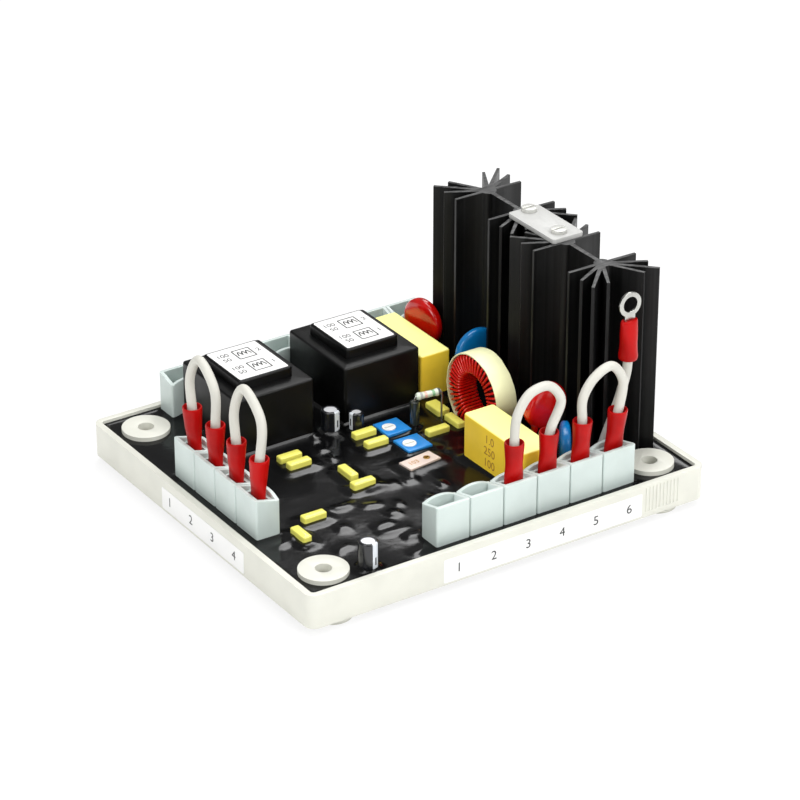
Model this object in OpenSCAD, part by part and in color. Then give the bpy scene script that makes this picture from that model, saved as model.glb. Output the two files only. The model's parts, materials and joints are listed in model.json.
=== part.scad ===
// Potted automatic voltage regulator for a generator.
// Millimetres. X runs along the front wall, Y to the back, Z up.
// The origin is under the middle of the tray, on the plane of its feet.

/* [Tray] */
// Outside length of the tray
tray_l = 150; // [145:1:170]
// Outside width of the tray
tray_w = 135; // [132:1:155]
// Height of the rim above the plane of the feet
tray_h = 14.1; // [13.5:0.1:18]
// Thickness of the side walls
tray_wall = 2.2; // [1.2:0.1:3]
// Thickness of the floor
tray_floor = 2; // [1:0.1:3]
// Radius of the outside corners
tray_corner_r = 3.5; // [1:0.1:6]
// Height of the feet below the floor
foot_h = 2.5; // [1:0.1:4]
// Diameter of the feet
foot_d = 13; // [9:0.5:16]
// Distance from the front and rear walls to the feet
foot_setback = 2; // [0.5:0.1:3]
// Diameter of the corner bosses
boss_d = 16; // [11:0.5:17]
// Diameter of the fixing holes
fixing_d = 5.3; // [4:0.1:7]
// Distance from the tray's sides to the fixing holes
fixing_inset = 13; // [11:0.5:14]
// Number of finger grooves at the right end of the front wall
groove_count = 10; // [4:1:12]
// Distance between the finger grooves
groove_pitch = 1.4; // [1:0.1:1.6]
// Width of a finger groove
groove_w = 0.7; // [0.3:0.1:0.8]
// Depth of a finger groove
groove_depth = 0.2; // [0.1:0.1:0.6]
// Distance from the rounded corner to the first finger groove
groove_inset = 8; // [1:0.5:9]
// Plain band above the finger grooves
groove_band = 1; // [0.5:0.1:3]

/* [Board and filling] */
// Height of the pads that carry the circuit board
pad_h = 3; // [2:0.1:4]
// Diameter of those pads
pad_d = 6; // [4:0.5:8]
// Distance from the tray's inner wall to the centre of a pad
pad_inset = 6; // [4:0.5:8]
// Distance between the pads of a row
pad_spacing = 42; // [30:1:50]
// Thickness of the circuit board
board_t = 1.6; // [1:0.1:2]
// Clearance between the board and the tray
board_gap = 0.8; // [0.3:0.1:1.5]
// Depth of the filling's surface below the rim
filling_drop = 1.5; // [0.8:0.1:1.8]

/* [Tab strips] */
// Distance between neighbouring tabs
tab_pitch = 12.7; // [12:0.1:13]
// Gap between neighbouring housings
housing_gap = 0.2; // [0.1:0.05:0.5]
// Depth of a housing across its strip
housing_depth = 8.6; // [8:0.1:9]
// Height of a housing's outer wall above the board
housing_h = 17.6; // [16:0.1:19]
// Fall of the side walls from the outer wall to the inner one
housing_fall = 1.7; // [0.5:0.1:2.5]
// Rise of the rounded inner wall above its corners
housing_arch = 1.3; // [0.8:0.1:3]
// Wall thickness of a housing
housing_wall = 1.2; // [0.8:0.1:1.4]
// Floor thickness of a housing
housing_floor = 2.4; // [1.5:0.1:4]
// Radius of a housing's upright corners
housing_corner_r = 0.7; // [0.3:0.1:1.1]
// Distance from the front and left walls to their strips
strip_inset = 3.3; // [0.5:0.1:3.5]
// Distance from the rear wall to its strip
rear_strip_inset = 0.3; // [0.2:0.1:1]
// Number of tabs on the front strip
front_tabs = 6; // [4:1:6]
// Number of tabs on the left strip
left_tabs = 4; // [4:1:6]
// Number of tabs on the rear strip
rear_tabs = 8; // [2:1:8]
// Middle of the front strip along X
front_strip_x = 12.5; // [11:0.1:13]
// Middle of the left strip along Y
left_strip_y = -2.5; // [-6:0.1:6]
// Width of a tab blade
blade_w = 6.3; // [5:0.1:6.5]
// Thickness of a tab blade
blade_t = 0.8; // [0.5:0.1:1]
// Height of a tab blade above the board
blade_h = 11.2; // [9:0.1:12]
// Chamfer at the tip of a blade
blade_chamfer = 0.9; // [0.3:0.1:1.5]

/* [Jumpers and lead] */
// Sheet thickness of a receptacle
receptacle_t = 0.4; // [0.3:0.05:0.5]
// Clearance between a receptacle and its blade
receptacle_fit = 0.1; // [0.05:0.05:0.2]
// Width of the open side of a receptacle
receptacle_slot = 3.4; // [2:0.1:4]
// Length of a receptacle
receptacle_l = 9; // [9:0.1:10]
// Clearance between an insulating shell and its housing
shell_fit = 0.1; // [0.05:0.05:0.2]
// Depth of a shell's top below the corners of the housing's inner wall
shell_drop = 0.4; // [0.1:0.1:1]
// Clearance beside a sleeve in its shell
shell_play = 0.5; // [0.4:0.1:0.6]
// Radius of the corners in a shell's opening
shell_corner_r = 0.8; // [0.3:0.1:1]
// Height of a red sleeve
sleeve_h = 18.2; // [16:0.1:20]
// Diameter of a sleeve's round mouth
sleeve_mouth_d = 6.3; // [5.6:0.1:7]
// Diameter of a sleeve's waist
sleeve_waist_d = 5.5; // [5:0.1:6]
// Width of a sleeve's flat end
sleeve_flat_w = 6.9; // [6:0.1:7.4]
// Thickness of a sleeve's flat end
sleeve_flat_t = 3.2; // [2.5:0.1:4]
// Length of a sleeve's flat end
sleeve_flat_l = 6.5; // [4:0.1:8]
// Height of a sleeve's waist above its flat end's foot
sleeve_waist_z = 12; // [10:0.1:13]
// Swelling of the flat end towards the waist
sleeve_swell = 0.3; // [0:0.1:0.8]
// Clearance round a wire on its seat
wire_fit = 0.15; // [0.05:0.05:0.3]
// Depth of the wire's seat in a sleeve's mouth
sleeve_recess = 2.5; // [1.5:0.1:3.5]
// Wall thickness at a sleeve's mouth
sleeve_lip = 0.5; // [0.3:0.05:0.8]
// Diameter of the wires
wire_d = 3.1; // [2.5:0.1:3.4]
// Length of the sleeve on the ring lead
lead_sleeve_l = 13.5; // [10:0.1:16]
// Outside diameter of the ring terminal
ring_d = 8.4; // [8:0.1:10]
// Hole of the ring terminal
ring_hole_d = 5.3; // [4:0.1:6]
// Sheet thickness of the ring terminal
ring_t = 0.9; // [0.6:0.1:1.2]
// Width of the ring terminal's tongue
ring_tongue_w = 4; // [3:0.1:5]
// Distance from the lead's sleeve to the centre of the ring
ring_rise = 5.5; // [5.5:0.1:8]

/* [Heat sinks] */
// Length of the extruded sinks, standing upright
sink_h = 68; // [50:1:90]
// Thickness of the web between the two fans of fins
sink_web_t = 1.6; // [1.2:0.1:2.4]
// Distance between the centres of the two fans
fan_spacing = 19.2; // [18:0.1:20]
// Diameter of the hub in the middle of a fan
hub_d = 5.6; // [4:0.1:6.4]
// Thickness of a fin at its root
fin_root_t = 1.5; // [1:0.1:2]
// Thickness of a fin at its tip
fin_tip_t = 1; // [0.6:0.1:1.2]
// Reach of the side fins from the middle of the web
fin_reach = 13.1; // [11:0.1:13.2]
// Reach of the outer fins past the centre of their fan
fin_rise = 13; // [11:0.1:13.2]
// Rise of the middle pair of side fins
side_fin_rise = 6.8; // [5:0.1:8]
// Sideways reach of the innermost pair of end fins
end_fin_reach = 7.1; // [6:0.1:8]
// Distance from the tray's right wall to the rear sink's fins
sink_wall_gap = 1.1; // [0.8:0.1:1.5]
// Distance between the two sinks' end fins
sink_gap = 0.7; // [0.4:0.1:1.2]
// Sideways step from the rear sink to the front one
sink_step = 1.6; // [0:0.1:2]
// Width of the tie plate
tie_w = 12; // [9:0.1:14]
// Length of the tie plate
tie_l = 25.5; // [25:0.1:30]
// Radius of the tie plate's corners
tie_corner_r = 1; // [0.3:0.1:3]
// Shift of the tie plate towards the front
tie_shift = 0.9; // [0:0.1:1.2]
// Thickness of the tie plate
tie_t = 1.6; // [1:0.1:3]
// Diameter of the tie plate's screws
tie_screw_d = 2.9; // [2.5:0.1:3]
// Length of those screws below the head
tie_screw_l = 9; // [6:0.5:14]
// Distance from the centre of a fan to its tie screw
tie_seat = 4.3; // [4:0.1:4.8]
// Diameter of the screw heads
screw_head_d = 5.2; // [4.4:0.1:5.6]
// Height of the screw heads
screw_head_h = 1.3; // [1:0.1:2]
// Clearance round the screws
screw_fit = 0.05; // [0.02:0.01:0.1]

/* [Power transistors] */
// Width of a transistor
transistor_w = 10; // [9:0.1:10.4]
// Height of its moulded body
transistor_body_h = 9.2; // [8:0.1:10]
// Thickness of its moulded body
transistor_body_t = 3.2; // [2.5:0.1:3.4]
// Thickness of its metal tab
transistor_tab_t = 1.3; // [1:0.1:1.6]
// Height of the metal tab
transistor_tab_h = 15.7; // [15:0.1:17]
// Height of the transistor above the board
transistor_lift = 5.4; // [4:0.1:8]
// Distance from the tab's upper edge to its hole
transistor_hole_inset = 3; // [2.8:0.1:3.2]
// Diameter of the transistor's screw
transistor_screw_d = 3; // [2.5:0.1:3.2]
// Offset of the rear transistor from the middle of its sink
rear_transistor_shift = 1.8; // [1.4:0.1:2]
// Distance between a transistor's leads
transistor_lead_pitch = 2.54; // [2:0.01:3]
// Width of a transistor's lead
transistor_lead_w = 0.8; // [0.5:0.1:1]
// Thickness of a transistor's lead
transistor_lead_t = 0.5; // [0.4:0.1:0.8]

/* [Transformers] */
// Width of a transformer along X
transformer_w = 29.6; // [26:0.1:30]
// Depth of a transformer along Y
transformer_d = 34.8; // [30:0.1:35]
// Height of its body above the board
transformer_h = 24.3; // [18:0.1:30]
// Width of the raised block on top
block_w = 20.4; // [14:0.1:24]
// Depth of the raised block
block_d = 23.5; // [16:0.1:28]
// Height of the raised block
block_h = 3.5; // [1:0.1:6]
// Radius of a transformer's upright edges
transformer_r = 1; // [0.3:0.1:2]
// Clearance from the transformers to the rear strip
transformer_gap = 0.5; // [0.3:0.1:1]
// Space between the two transformers
transformer_space = 11.5; // [11:0.1:12]
// Left side of the left transformer
transformer_x = -47.1; // [-50:0.1:-46]

/* [Capacitors] */
// Width of a box capacitor
box_cap_w = 11.7; // [10:0.1:11.8]
// Depth of a box capacitor
box_cap_d = 33.5; // [30:0.1:34]
// Height of a box capacitor above the board
box_cap_h = 20; // [15:0.1:26]
// Radius of a box capacitor's edges
box_cap_r = 0.8; // [0.3:0.1:1.5]
// Clearance from the rear box capacitor to the transformer
box_cap_gap = 1; // [0.3:0.1:1.1]
// Length of a film capacitor
film_cap_l = 8.4; // [7:0.1:8.6]
// Thickness of a film capacitor
film_cap_t = 3.2; // [2:0.1:3.4]
// Thickness of the one wide film capacitor
wide_film_cap_t = 4.6; // [3.4:0.1:4.8]
// Height of a film capacitor above the board
film_cap_h = 6.2; // [4.5:0.1:8]
// Radius of a film capacitor's edges
film_cap_r = 0.5; // [0.2:0.1:0.8]
// Diameter of the electrolytic capacitors
can_d = 6.3; // [5:0.1:6.4]
// Diameter of the small electrolytic capacitor
small_can_d = 5; // [4:0.1:6]
// Chamfer at the top of the cans
can_chamfer = 0.5; // [0.2:0.1:0.8]

/* [Trimmers] */
// Side of a square trimmer
trimmer_side = 9.2; // [8.5:0.1:9.3]
// Height of a square trimmer above the board
trimmer_h = 4.9; // [4.5:0.1:8]
// Diameter of its rotor
rotor_d = 4.6; // [3.5:0.1:6]
// Distance from the middle of a trimmer to its rotor
rotor_shift = 1.3; // [0:0.1:1.5]
// Depth of the rotor in the trimmer
rotor_depth = 1.4; // [1:0.1:2]
// Height of the rotor's face above the trimmer
rotor_proud = 0.2; // [0:0.05:0.4]
// Diameter of the rotor's stem
stem_d = 1.8; // [1.2:0.1:2.4]
// Length of the rotor's stem
stem_l = 2.4; // [1.5:0.1:2.6]
// Width of the driver slots
slot_w = 0.7; // [0.5:0.1:1]
// Depth of the driver slots
slot_depth = 0.7; // [0.4:0.1:0.9]
// Wall left at each end of a rotor's slot
slot_end = 0.5; // [0.2:0.1:0.7]
// Running clearance of the rotor and the adjusting screw
rotor_fit = 0.05; // [0.02:0.01:0.1]
// Length of the multi-turn trimmer
multiturn_l = 12.6; // [12:0.1:14]
// Thickness of the multi-turn trimmer
multiturn_t = 6; // [5:0.1:6.2]
// Height of the multi-turn trimmer above the board
multiturn_h = 4.7; // [4.5:0.1:8]
// Diameter of its adjusting screw
adjuster_d = 2.2; // [1.6:0.1:2.6]
// Diameter of the adjusting screw's stem
adjuster_stem_d = 1.4; // [1:0.1:1.5]
// Distance from the middle of the trimmer to that screw
adjuster_shift = 2.8; // [2:0.1:4]

/* [Discs and choke] */
// Diameter of the rear red disc
rear_red_disc_d = 16.8; // [14:0.1:17]
// Diameter of the front red disc
front_red_disc_d = 16; // [14:0.1:16.4]
// Thickness of the red discs
red_disc_t = 4.6; // [3:0.1:4.8]
// Diameter of the rear blue disc
rear_blue_disc_d = 17; // [14:0.1:17.4]
// Diameter of the front blue disc
front_blue_disc_d = 16; // [14:0.1:16.4]
// Thickness of the blue discs
blue_disc_t = 4; // [3:0.1:4.2]
// Diameter of the discs' leads
disc_lead_d = 0.9; // [0.6:0.1:1.2]
// Distance between a disc's leads
disc_lead_pitch = 7.5; // [5:0.1:10]
// Outside diameter of the choke over its tape
choke_d = 29.6; // [26:0.1:29.8]
// Diameter of the choke's bore
choke_bore_d = 15; // [12:0.1:16]
// Width of the winding along its axis
winding_w = 7.2; // [6:0.1:7.4]
// Diameter of the winding's wire
turn_d = 1; // [0.6:0.1:1.1]
// Number of turns
turn_count = 36; // [20:1:38]
// Width of the tape band
tape_w = 8; // [7:0.1:8.2]
// Thickness of the tape band
tape_t = 0.5; // [0.3:0.1:0.8]

/* [Raised resistor] */
// Diameter of the raised resistor
raised_d = 2.6; // [2:0.1:3.2]
// Length of its body
raised_l = 8.8; // [7:0.1:9]
// Distance between its bent leads
raised_pitch = 10; // [9.8:0.1:10.2]
// Height of its axis above the board
raised_h = 14.6; // [8:0.1:16]
// Diameter of the sleeve on its left lead
raised_sleeve_d = 3.2; // [2:0.1:3.6]
// Distance from the top of that sleeve to the resistor's underside
raised_sleeve_drop = 0.2; // [0.1:0.1:2]

/* [Parts under the filling] */
// Diameter of a resistor
resistor_d = 2.3; // [1.6:0.1:2.8]
// Length of a resistor
resistor_l = 6.3; // [4:0.1:7]
// Diameter of a diode
diode_d = 2.7; // [2:0.1:3]
// Length of a diode
diode_l = 5.2; // [4:0.1:6]
// Distance between the bent leads of a resistor or diode
axial_pitch = 10.2; // [9:0.1:12]
// Diameter of those leads
axial_lead_d = 0.7; // [0.5:0.1:0.8]
// Clearance between an axial part's body and the board
axial_lift = 0.2; // [0.1:0.1:0.3]
// Length of a control chip
chip_l = 9.6; // [9:0.1:20]
// Width of a control chip
chip_w = 6.4; // [6:0.1:7]
// Height of a control chip above the board
chip_h = 3.2; // [2.5:0.1:3.3]
// Radius of a control chip's upright edges
chip_r = 0.3; // [0.1:0.1:0.6]

/* [Hidden] */
$fn = 48;

// Overlap that keeps a cut clear of the face it starts from
cut = 1;

// Tray that the parts' own sizes suit: a smaller tray takes smaller parts
full_l = 150;
full_w = 135;
fit = min(tray_l / full_l, tray_w / full_w, 1);

// Places on the board are shares of the tray's length and width, and what follows them stays as it is
function placed(at) = [at[0] * tray_l, at[1] * tray_w, each [for (k = [2 : 1 : len(at) - 1]) at[k]]];
function all_placed(list) = [for (at = list) placed(at)];

// Heights of the layers in the tray
floor_z = foot_h + tray_floor;
board_z = floor_z + pad_h;
mount_z = board_z + board_t;
filling_z = tray_h - filling_drop;

// Inside of the tray, and the fixing holes
least_inner_r = 0.5;
inner_x = tray_l / 2 - tray_wall;
inner_y = tray_w / 2 - tray_wall;
fixing_x = tray_l / 2 - fixing_inset;
fixing_y = tray_w / 2 - fixing_inset;
foot_reach = fixing_inset - foot_setback - foot_d / 2;

// Pitch and depth of the three tab strips, and their middle lines
pitch = tab_pitch * fit;
strip_d = housing_depth * fit;
front_strip_y = strip_inset * fit + strip_d / 2 - inner_y;
left_strip_x = strip_inset * fit + strip_d / 2 - inner_x;
rear_strip_y = inner_y - rear_strip_inset - strip_d / 2;

// Tabs of the front and left strips that carry a sleeve, and how far each sleeve leans along its strip
front_sleeved = [for (i = [front_tabs - 4 : front_tabs - 1]) i];
front_lean = [0.1, 0.6, 0.8, 1.9];
left_sleeved = [0, 1, 2, 3];
left_lean = [-1.2, 0.5, 0.6, 1.6];

// Sleeves stand on the receptacles, and the wires on the seats in the sleeves
sleeve_z = mount_z + housing_floor + receptacle_l;
wire_seat = sleeve_h - sleeve_recess;

// Jumper routes: distance along the strip from the first tab, then height above the wire's seat
front_jumper_1_route = [[0.1, 2.6], [1.3, 12], [6.1, 18], [12.5, 18.6], [17.5, 12.9], [13.8, 2.6]];
front_jumper_2_route = [[0.7, 2.5], [0.8, 10.4], [5.2, 16.5], [11.4, 18.7], [15.8, 13.5], [15, 3]];
left_jumper_1_route = [[-1.3, 2.5], [-1.9, 12.6], [4.2, 21.2], [13.1, 14.9], [13.3, 3]];
left_jumper_2_route = [[0.3, 2.5], [-0.4, 12.1], [6.1, 22.9], [15.3, 17], [14.7, 3]];

// Ring lead: X as a share of the tray's length, then height above the filling, in the upright plane at lead_y
lead_gap = 0.85;
lead_y = front_strip_y + strip_d / 2 + lead_gap + wire_d / 2;
lead_shares = [[0.288, 0], [0.288, 1.5], [0.2893, 3.5], [0.2927, 6], [0.298, 8.5], [0.306, 11.5],
    [0.314, 14.5], [0.3227, 17.5], [0.3307, 20.5], [0.3387, 23.5], [0.346, 26.5], [0.3527, 29.5],
    [0.3587, 32.5], [0.3627, 35.5], [0.364, 38.9]];
lead_route = [for (at = lead_shares) [at[0] * tray_l, at[1]]];
lead_end = lead_route[len(lead_route) - 1];
lead_sleeve_z = filling_z + lead_end[1];
ring_z = lead_sleeve_z + lead_sleeve_l + ring_rise;

// Sides of the wires and of the sleeves, and rings between two points of a jumper's route
wire_sides = 8;
sleeve_sides = 20;
jumper_steps = 3;

// Heat sinks: the end of a sink from its middle, past the corner of a slanting fin's tip
fin_corner = fin_tip_t / 2 * cos(atan2(fin_rise, fin_reach));
sink_half_l = (fan_spacing / 2 + fin_rise + fin_corner) * fit;
sink_middle_y = 0.1;
web_t = sink_web_t * fit;
rear_sink = [inner_x - sink_wall_gap - fin_reach * fit, sink_middle_y + sink_gap / 2 + sink_half_l];
front_sink = [rear_sink[0] - sink_step, sink_middle_y - sink_gap / 2 - sink_half_l];
sink_top = mount_z + sink_h;
tie_seat_y = (fan_spacing / 2 + tie_seat) * fit;
tie_screws = [[rear_sink[0], rear_sink[1] - tie_seat_y], [front_sink[0], front_sink[1] + tie_seat_y]];
tie_middle = (tie_screws[0] + tie_screws[1]) / 2 - [0, tie_shift];

// Transistors: middle line on each web's left face, and the height of their screws
transistor_hole_h = transistor_lift + transistor_tab_h - transistor_hole_inset;
transistor_hole_z = mount_z + transistor_hole_h * fit;
transistor_hole_d = transistor_screw_d + 2 * screw_fit;
rear_transistor = [rear_sink[0] - web_t / 2, rear_sink[1] + rear_transistor_shift * fit];
front_transistor = [front_sink[0] - web_t / 2, front_sink[1]];

// Transformers and box capacitors: middles
transformer_y = rear_strip_y - strip_d / 2 - transformer_gap - transformer_d * fit / 2;
left_transformer_x = (transformer_x + transformer_w / 2) * fit;
right_transformer_x = left_transformer_x + (transformer_w + transformer_space) * fit;
rear_box_cap = [right_transformer_x + (transformer_w / 2 + box_cap_gap + box_cap_w / 2) * fit,
    rear_strip_y - strip_d / 2 - box_cap_gap - box_cap_d * fit / 2];
front_box_cap = placed([0.1347, -0.257]);

// Small parts on the board: most have a turn, cans a height and a diameter
film_caps = all_placed([[-0.2242, 0.0822, 0], [-0.2222, 0.0428, 0], [-0.318, -0.1924, 0],
    [-0.1546, -0.1217, 0], [-0.032, 0.0845, 0], [-0.0326, 0.0293, 0], [0.1087, -0.0011, 0],
    [-0.3789, -0.2468, 90], [-0.1559, -0.0592, 90], [0.1656, 0.0168, 90]]);
wide_film_cap_at = placed([0.1667, 0.0941, 90]);
cans = all_placed([[-0.0783, 0.1541, 11.7, can_d], [-0.0287, 0.1237, 10.5, small_can_d],
    [-0.33, -0.4459, 13.5, can_d]]);
rear_trimmer_at = placed([0.0371, 0.077]);
front_trimmer_at = placed([0.0345, -0.0181]);
multiturn_at = placed([0.0041, -0.1, 7]);
raised_at = placed([0.1183, 0.0546, -6.5]);

// Discs: X, Y, height of the middle above the board and turn about Z
rear_red_at = placed([0.272, 0.3333, 19.2, 100]);
front_red_at = placed([0.2327, -0.2519, 23.9, 0]);
rear_blue_at = placed([0.296, 0.1333, 18.4, 0]);
front_blue_at = placed([0.2367, -0.3289, 13.6, 56]);

// Choke: its axis lies along X and its tape rests on the board
choke_at = placed([0.2153, -0.017]);
winding_r = choke_d / 2 - tape_t;
core_inset = turn_d;
choke_half_w = winding_w / 2 + turn_d / 2;

// Parts under the filling: resistors have a turn
resistors = all_placed([[-0.28, -0.2519, 0], [-0.28, -0.2815, 0], [-0.28, -0.3111, 0],
    [-0.28, -0.3407, 0], [-0.1733, -0.2519, 0], [-0.1733, -0.2815, 0], [-0.1733, -0.3111, 0],
    [-0.1733, -0.3407, 0], [-0.3067, -0.0593, 90], [-0.28, -0.0593, 90], [-0.2533, -0.0593, 90],
    [-0.0933, -0.0593, 90], [-0.1067, -0.1926, 90]]);
diodes = all_placed([[-0.36, 0.0296, 90], [-0.3333, 0.0296, 90], [-0.36, -0.0889, 90],
    [-0.3333, -0.0889, 90]]);
chips = all_placed([[0, -0.2222], [0, -0.3111]]);

// Rectangle with exact round corners, centred
module round_rect(w, d, r) {
    square([w - 2 * r, d], center = true);
    square([w, d - 2 * r], center = true);
    for (x = [-1, 1], y = [-1, 1])
        translate([x * (w / 2 - r), y * (d / 2 - r)])
            circle(r);
}

// Children at a place on the board, at the parts' own scale
module on_board(at)
    translate([at[0], at[1], mount_z])
        scale(fit)
            children();

// Upright block with round corners
module upright_block(w, d, h, r)
    linear_extrude(h)
        round_rect(w, d, r);

// Children at each of the four fixing holes
module at_fixings()
    for (x = [-1, 1], y = [-1, 1])
        translate([x * fixing_x, y * fixing_y])
            children();

// Children at one tab of a strip, turned so that the strip's outer wall lies towards -Y
module at_front_tab(i)
    translate([front_strip_x * fit + (i - (front_tabs - 1) / 2) * pitch, front_strip_y])
        children();

module at_left_tab(i)
    translate([left_strip_x, left_strip_y * fit - (i - (left_tabs - 1) / 2) * pitch])
        rotate(-90)
            children();

module at_rear_tab(i)
    translate([((rear_tabs - 1) / 2 - i) * pitch, rear_strip_y])
        rotate(180)
            children();

// Solid through rings of equally many points, closed at both ends
module loft(rings) {
    n = len(rings[0]);
    last = (len(rings) - 1) * n;
    points = [for (ring = rings) each ring];
    sides = [for (i = [0 : len(rings) - 2], j = [0 : n - 1])
        let (a = i * n + j, b = i * n + (j + 1) % n)
        each [[a, a + n, b + n], [a, b + n, b]]];
    ends = [[for (j = [0 : n - 1]) j], [for (j = [n - 1 : -1 : 0]) last + j]];
    polyhedron(points, concat(sides, ends));
}

// Smooth curve through points: each stretch is a cubic whose end slopes come from its neighbours
function slope(p, i) =
    i == 0 ? [0, 1] :
    i == len(p) - 1 ? [0, sign(p[i][1] - p[i - 1][1])] :
    let (a = norm(p[i] - p[i - 1]), b = norm(p[i + 1] - p[i]))
    ((p[i] - p[i - 1]) * b / a + (p[i + 1] - p[i]) * a / b) / (a + b);
function cubic(p, i, t) =
    let (d = norm(p[i + 1] - p[i]))
    (2 * t ^ 3 - 3 * t ^ 2 + 1) * p[i] + (t ^ 3 - 2 * t ^ 2 + t) * d * slope(p, i) +
    (3 * t ^ 2 - 2 * t ^ 3) * p[i + 1] + (t ^ 3 - t ^ 2) * d * slope(p, i + 1);
function curve(p, steps) =
    concat([for (i = [0 : len(p) - 2], k = [0 : steps - 1]) cubic(p, i, k / steps)], [p[len(p) - 1]]);

// Ring of a wire in the XZ plane, square to its direction
function wire_ring(at, along) =
    let (u = along / norm(along))
    [for (k = [0 : wire_sides - 1])
        let (a = 360 * k / wire_sides, s = sin(a) * wire_d / 2)
        [at[0] + s * u[1], cos(a) * wire_d / 2, at[1] - s * u[0]]];

// Wire along a route in the XZ plane, upright at both ends
module wire(route, steps) {
    path = curve(route, steps);
    last = len(path) - 1;
    loft([for (i = [0 : last])
        wire_ring(path[i], i == 0 ? slope(route, 0) :
            i == last ? slope(route, len(route) - 1) : path[i + 1] - path[i - 1])]);
}

// Ellipse at height z, moved along X
function oval(w, d, z, x = 0) =
    [for (k = [0 : sleeve_sides - 1])
        let (a = 360 * k / sleeve_sides)
        [x + w / 2 * cos(a), d / 2 * sin(a), z]];

// Tray: outline of the cavity, pads under the board, and the whole moulding
module tray_outline()
    round_rect(tray_l, tray_w, tray_corner_r);

module tray_cavity()
    round_rect(2 * inner_x, 2 * inner_y, max(tray_corner_r - tray_wall, least_inner_r));

module board_pads()
    for (i = [-1 : 1], side = [-1, 1])
        translate([i * pad_spacing * fit, side * (inner_y - pad_inset), floor_z])
            cylinder(d = pad_d, h = pad_h);

// Foot round a fixing hole, drawn out towards the front wall or the rear one
module foot(side)
    linear_extrude(foot_h + tray_floor / 2) {
        circle(d = foot_d);
        translate([0, side * foot_reach / 2])
            square([foot_d, foot_reach], center = true);
        translate([0, side * foot_reach])
            circle(d = foot_d);
    }

module finger_grooves()
    for (i = [0 : groove_count - 1])
        translate([tray_l / 2 - tray_corner_r - groove_inset - i * groove_pitch, -tray_w / 2, floor_z])
            translate([-groove_w / 2, -cut, 0])
                cube([groove_w, groove_depth + cut, tray_h - floor_z - groove_band]);

module tray() color("ivory") {
    difference() {
        union() {
            difference() {
                translate([0, 0, foot_h])
                    linear_extrude(tray_h - foot_h)
                        tray_outline();
                translate([0, 0, floor_z])
                    linear_extrude(tray_h)
                        tray_cavity();
            }
            for (x = [-1, 1], y = [-1, 1])
                translate([x * fixing_x, y * fixing_y])
                    foot(y);
            at_fixings()
                translate([0, 0, foot_h])
                    cylinder(d = boss_d, h = tray_h - foot_h);
            board_pads();
        }
        at_fixings()
            translate([0, 0, -cut])
                cylinder(d = fixing_d, h = tray_h + 2 * cut);
        finger_grooves();
    }
}

module circuit_board() color("darkgreen")
    translate([0, 0, board_z])
        linear_extrude(board_t)
            difference() {
                square([2 * (inner_x - board_gap), 2 * (inner_y - board_gap)], center = true);
                at_fixings()
                    circle(d = boss_d + 2 * board_gap);
            }

// Footprints of everything that stands on the board and comes up through the filling
module housing_footprint()
    round_rect(pitch - housing_gap, strip_d, housing_corner_r);

module disc_lead_footprint(at)
    rotate(at[3])
        for (side = [-1, 1])
            translate([side * disc_lead_pitch / 2, 0])
                circle(d = disc_lead_d);

module transistor_lead_footprint()
    for (i = [-1 : 1])
        translate([-transistor_tab_t - transistor_lead_t / 2, i * transistor_lead_pitch])
            square([transistor_lead_t, transistor_lead_w], center = true);

// Footprint at a place of the layout, at the parts' own scale
module foot_at(at)
    translate([at[0], at[1]])
        scale(fit)
            children();

module footprints() {
    for (i = [0 : front_tabs - 1])
        at_front_tab(i)
            housing_footprint();
    for (i = [0 : left_tabs - 1])
        at_left_tab(i)
            housing_footprint();
    for (i = [0 : rear_tabs - 1])
        at_rear_tab(i)
            housing_footprint();
    for (at = [rear_sink, front_sink])
        translate(at)
            sink_profile();
    for (at = [rear_transistor, front_transistor])
        foot_at(at)
            transistor_lead_footprint();
    for (x = [left_transformer_x, right_transformer_x])
        foot_at([x, transformer_y])
            round_rect(transformer_w, transformer_d, transformer_r);
    for (at = [rear_box_cap, front_box_cap])
        foot_at(at)
            round_rect(box_cap_w, box_cap_d, box_cap_r);
    for (at = film_caps)
        foot_at(at)
            rotate(at[2])
                round_rect(film_cap_l, film_cap_t, film_cap_r);
    foot_at(wide_film_cap_at)
        rotate(wide_film_cap_at[2])
            round_rect(film_cap_l, wide_film_cap_t, film_cap_r);
    for (at = cans)
        foot_at(at)
            circle(d = at[3]);
    for (at = [rear_red_at, front_red_at, rear_blue_at, front_blue_at])
        foot_at(at)
            disc_lead_footprint(at);
    for (at = [rear_trimmer_at, front_trimmer_at])
        foot_at(at)
            square(trimmer_side, center = true);
    foot_at(multiturn_at)
        rotate(multiturn_at[2])
            square([multiturn_l, multiturn_t], center = true);
    foot_at(raised_at)
        rotate(raised_at[2]) {
            translate([-raised_pitch / 2, 0])
                circle(d = raised_sleeve_d);
            translate([raised_pitch / 2, 0])
                circle(d = axial_lead_d);
        }
}

module potting() color("black")
    difference() {
        translate([0, 0, floor_z])
            linear_extrude(filling_z - floor_z)
                difference() {
                    tray_cavity();
                    at_fixings()
                        circle(d = boss_d);
                }
        board_pads();
        circuit_board();
        translate([0, 0, mount_z])
            linear_extrude(tray_h)
                footprints();
        choke_envelope();
        axial_resistors();
        rectifier_diodes();
        control_chips();
    }

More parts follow.
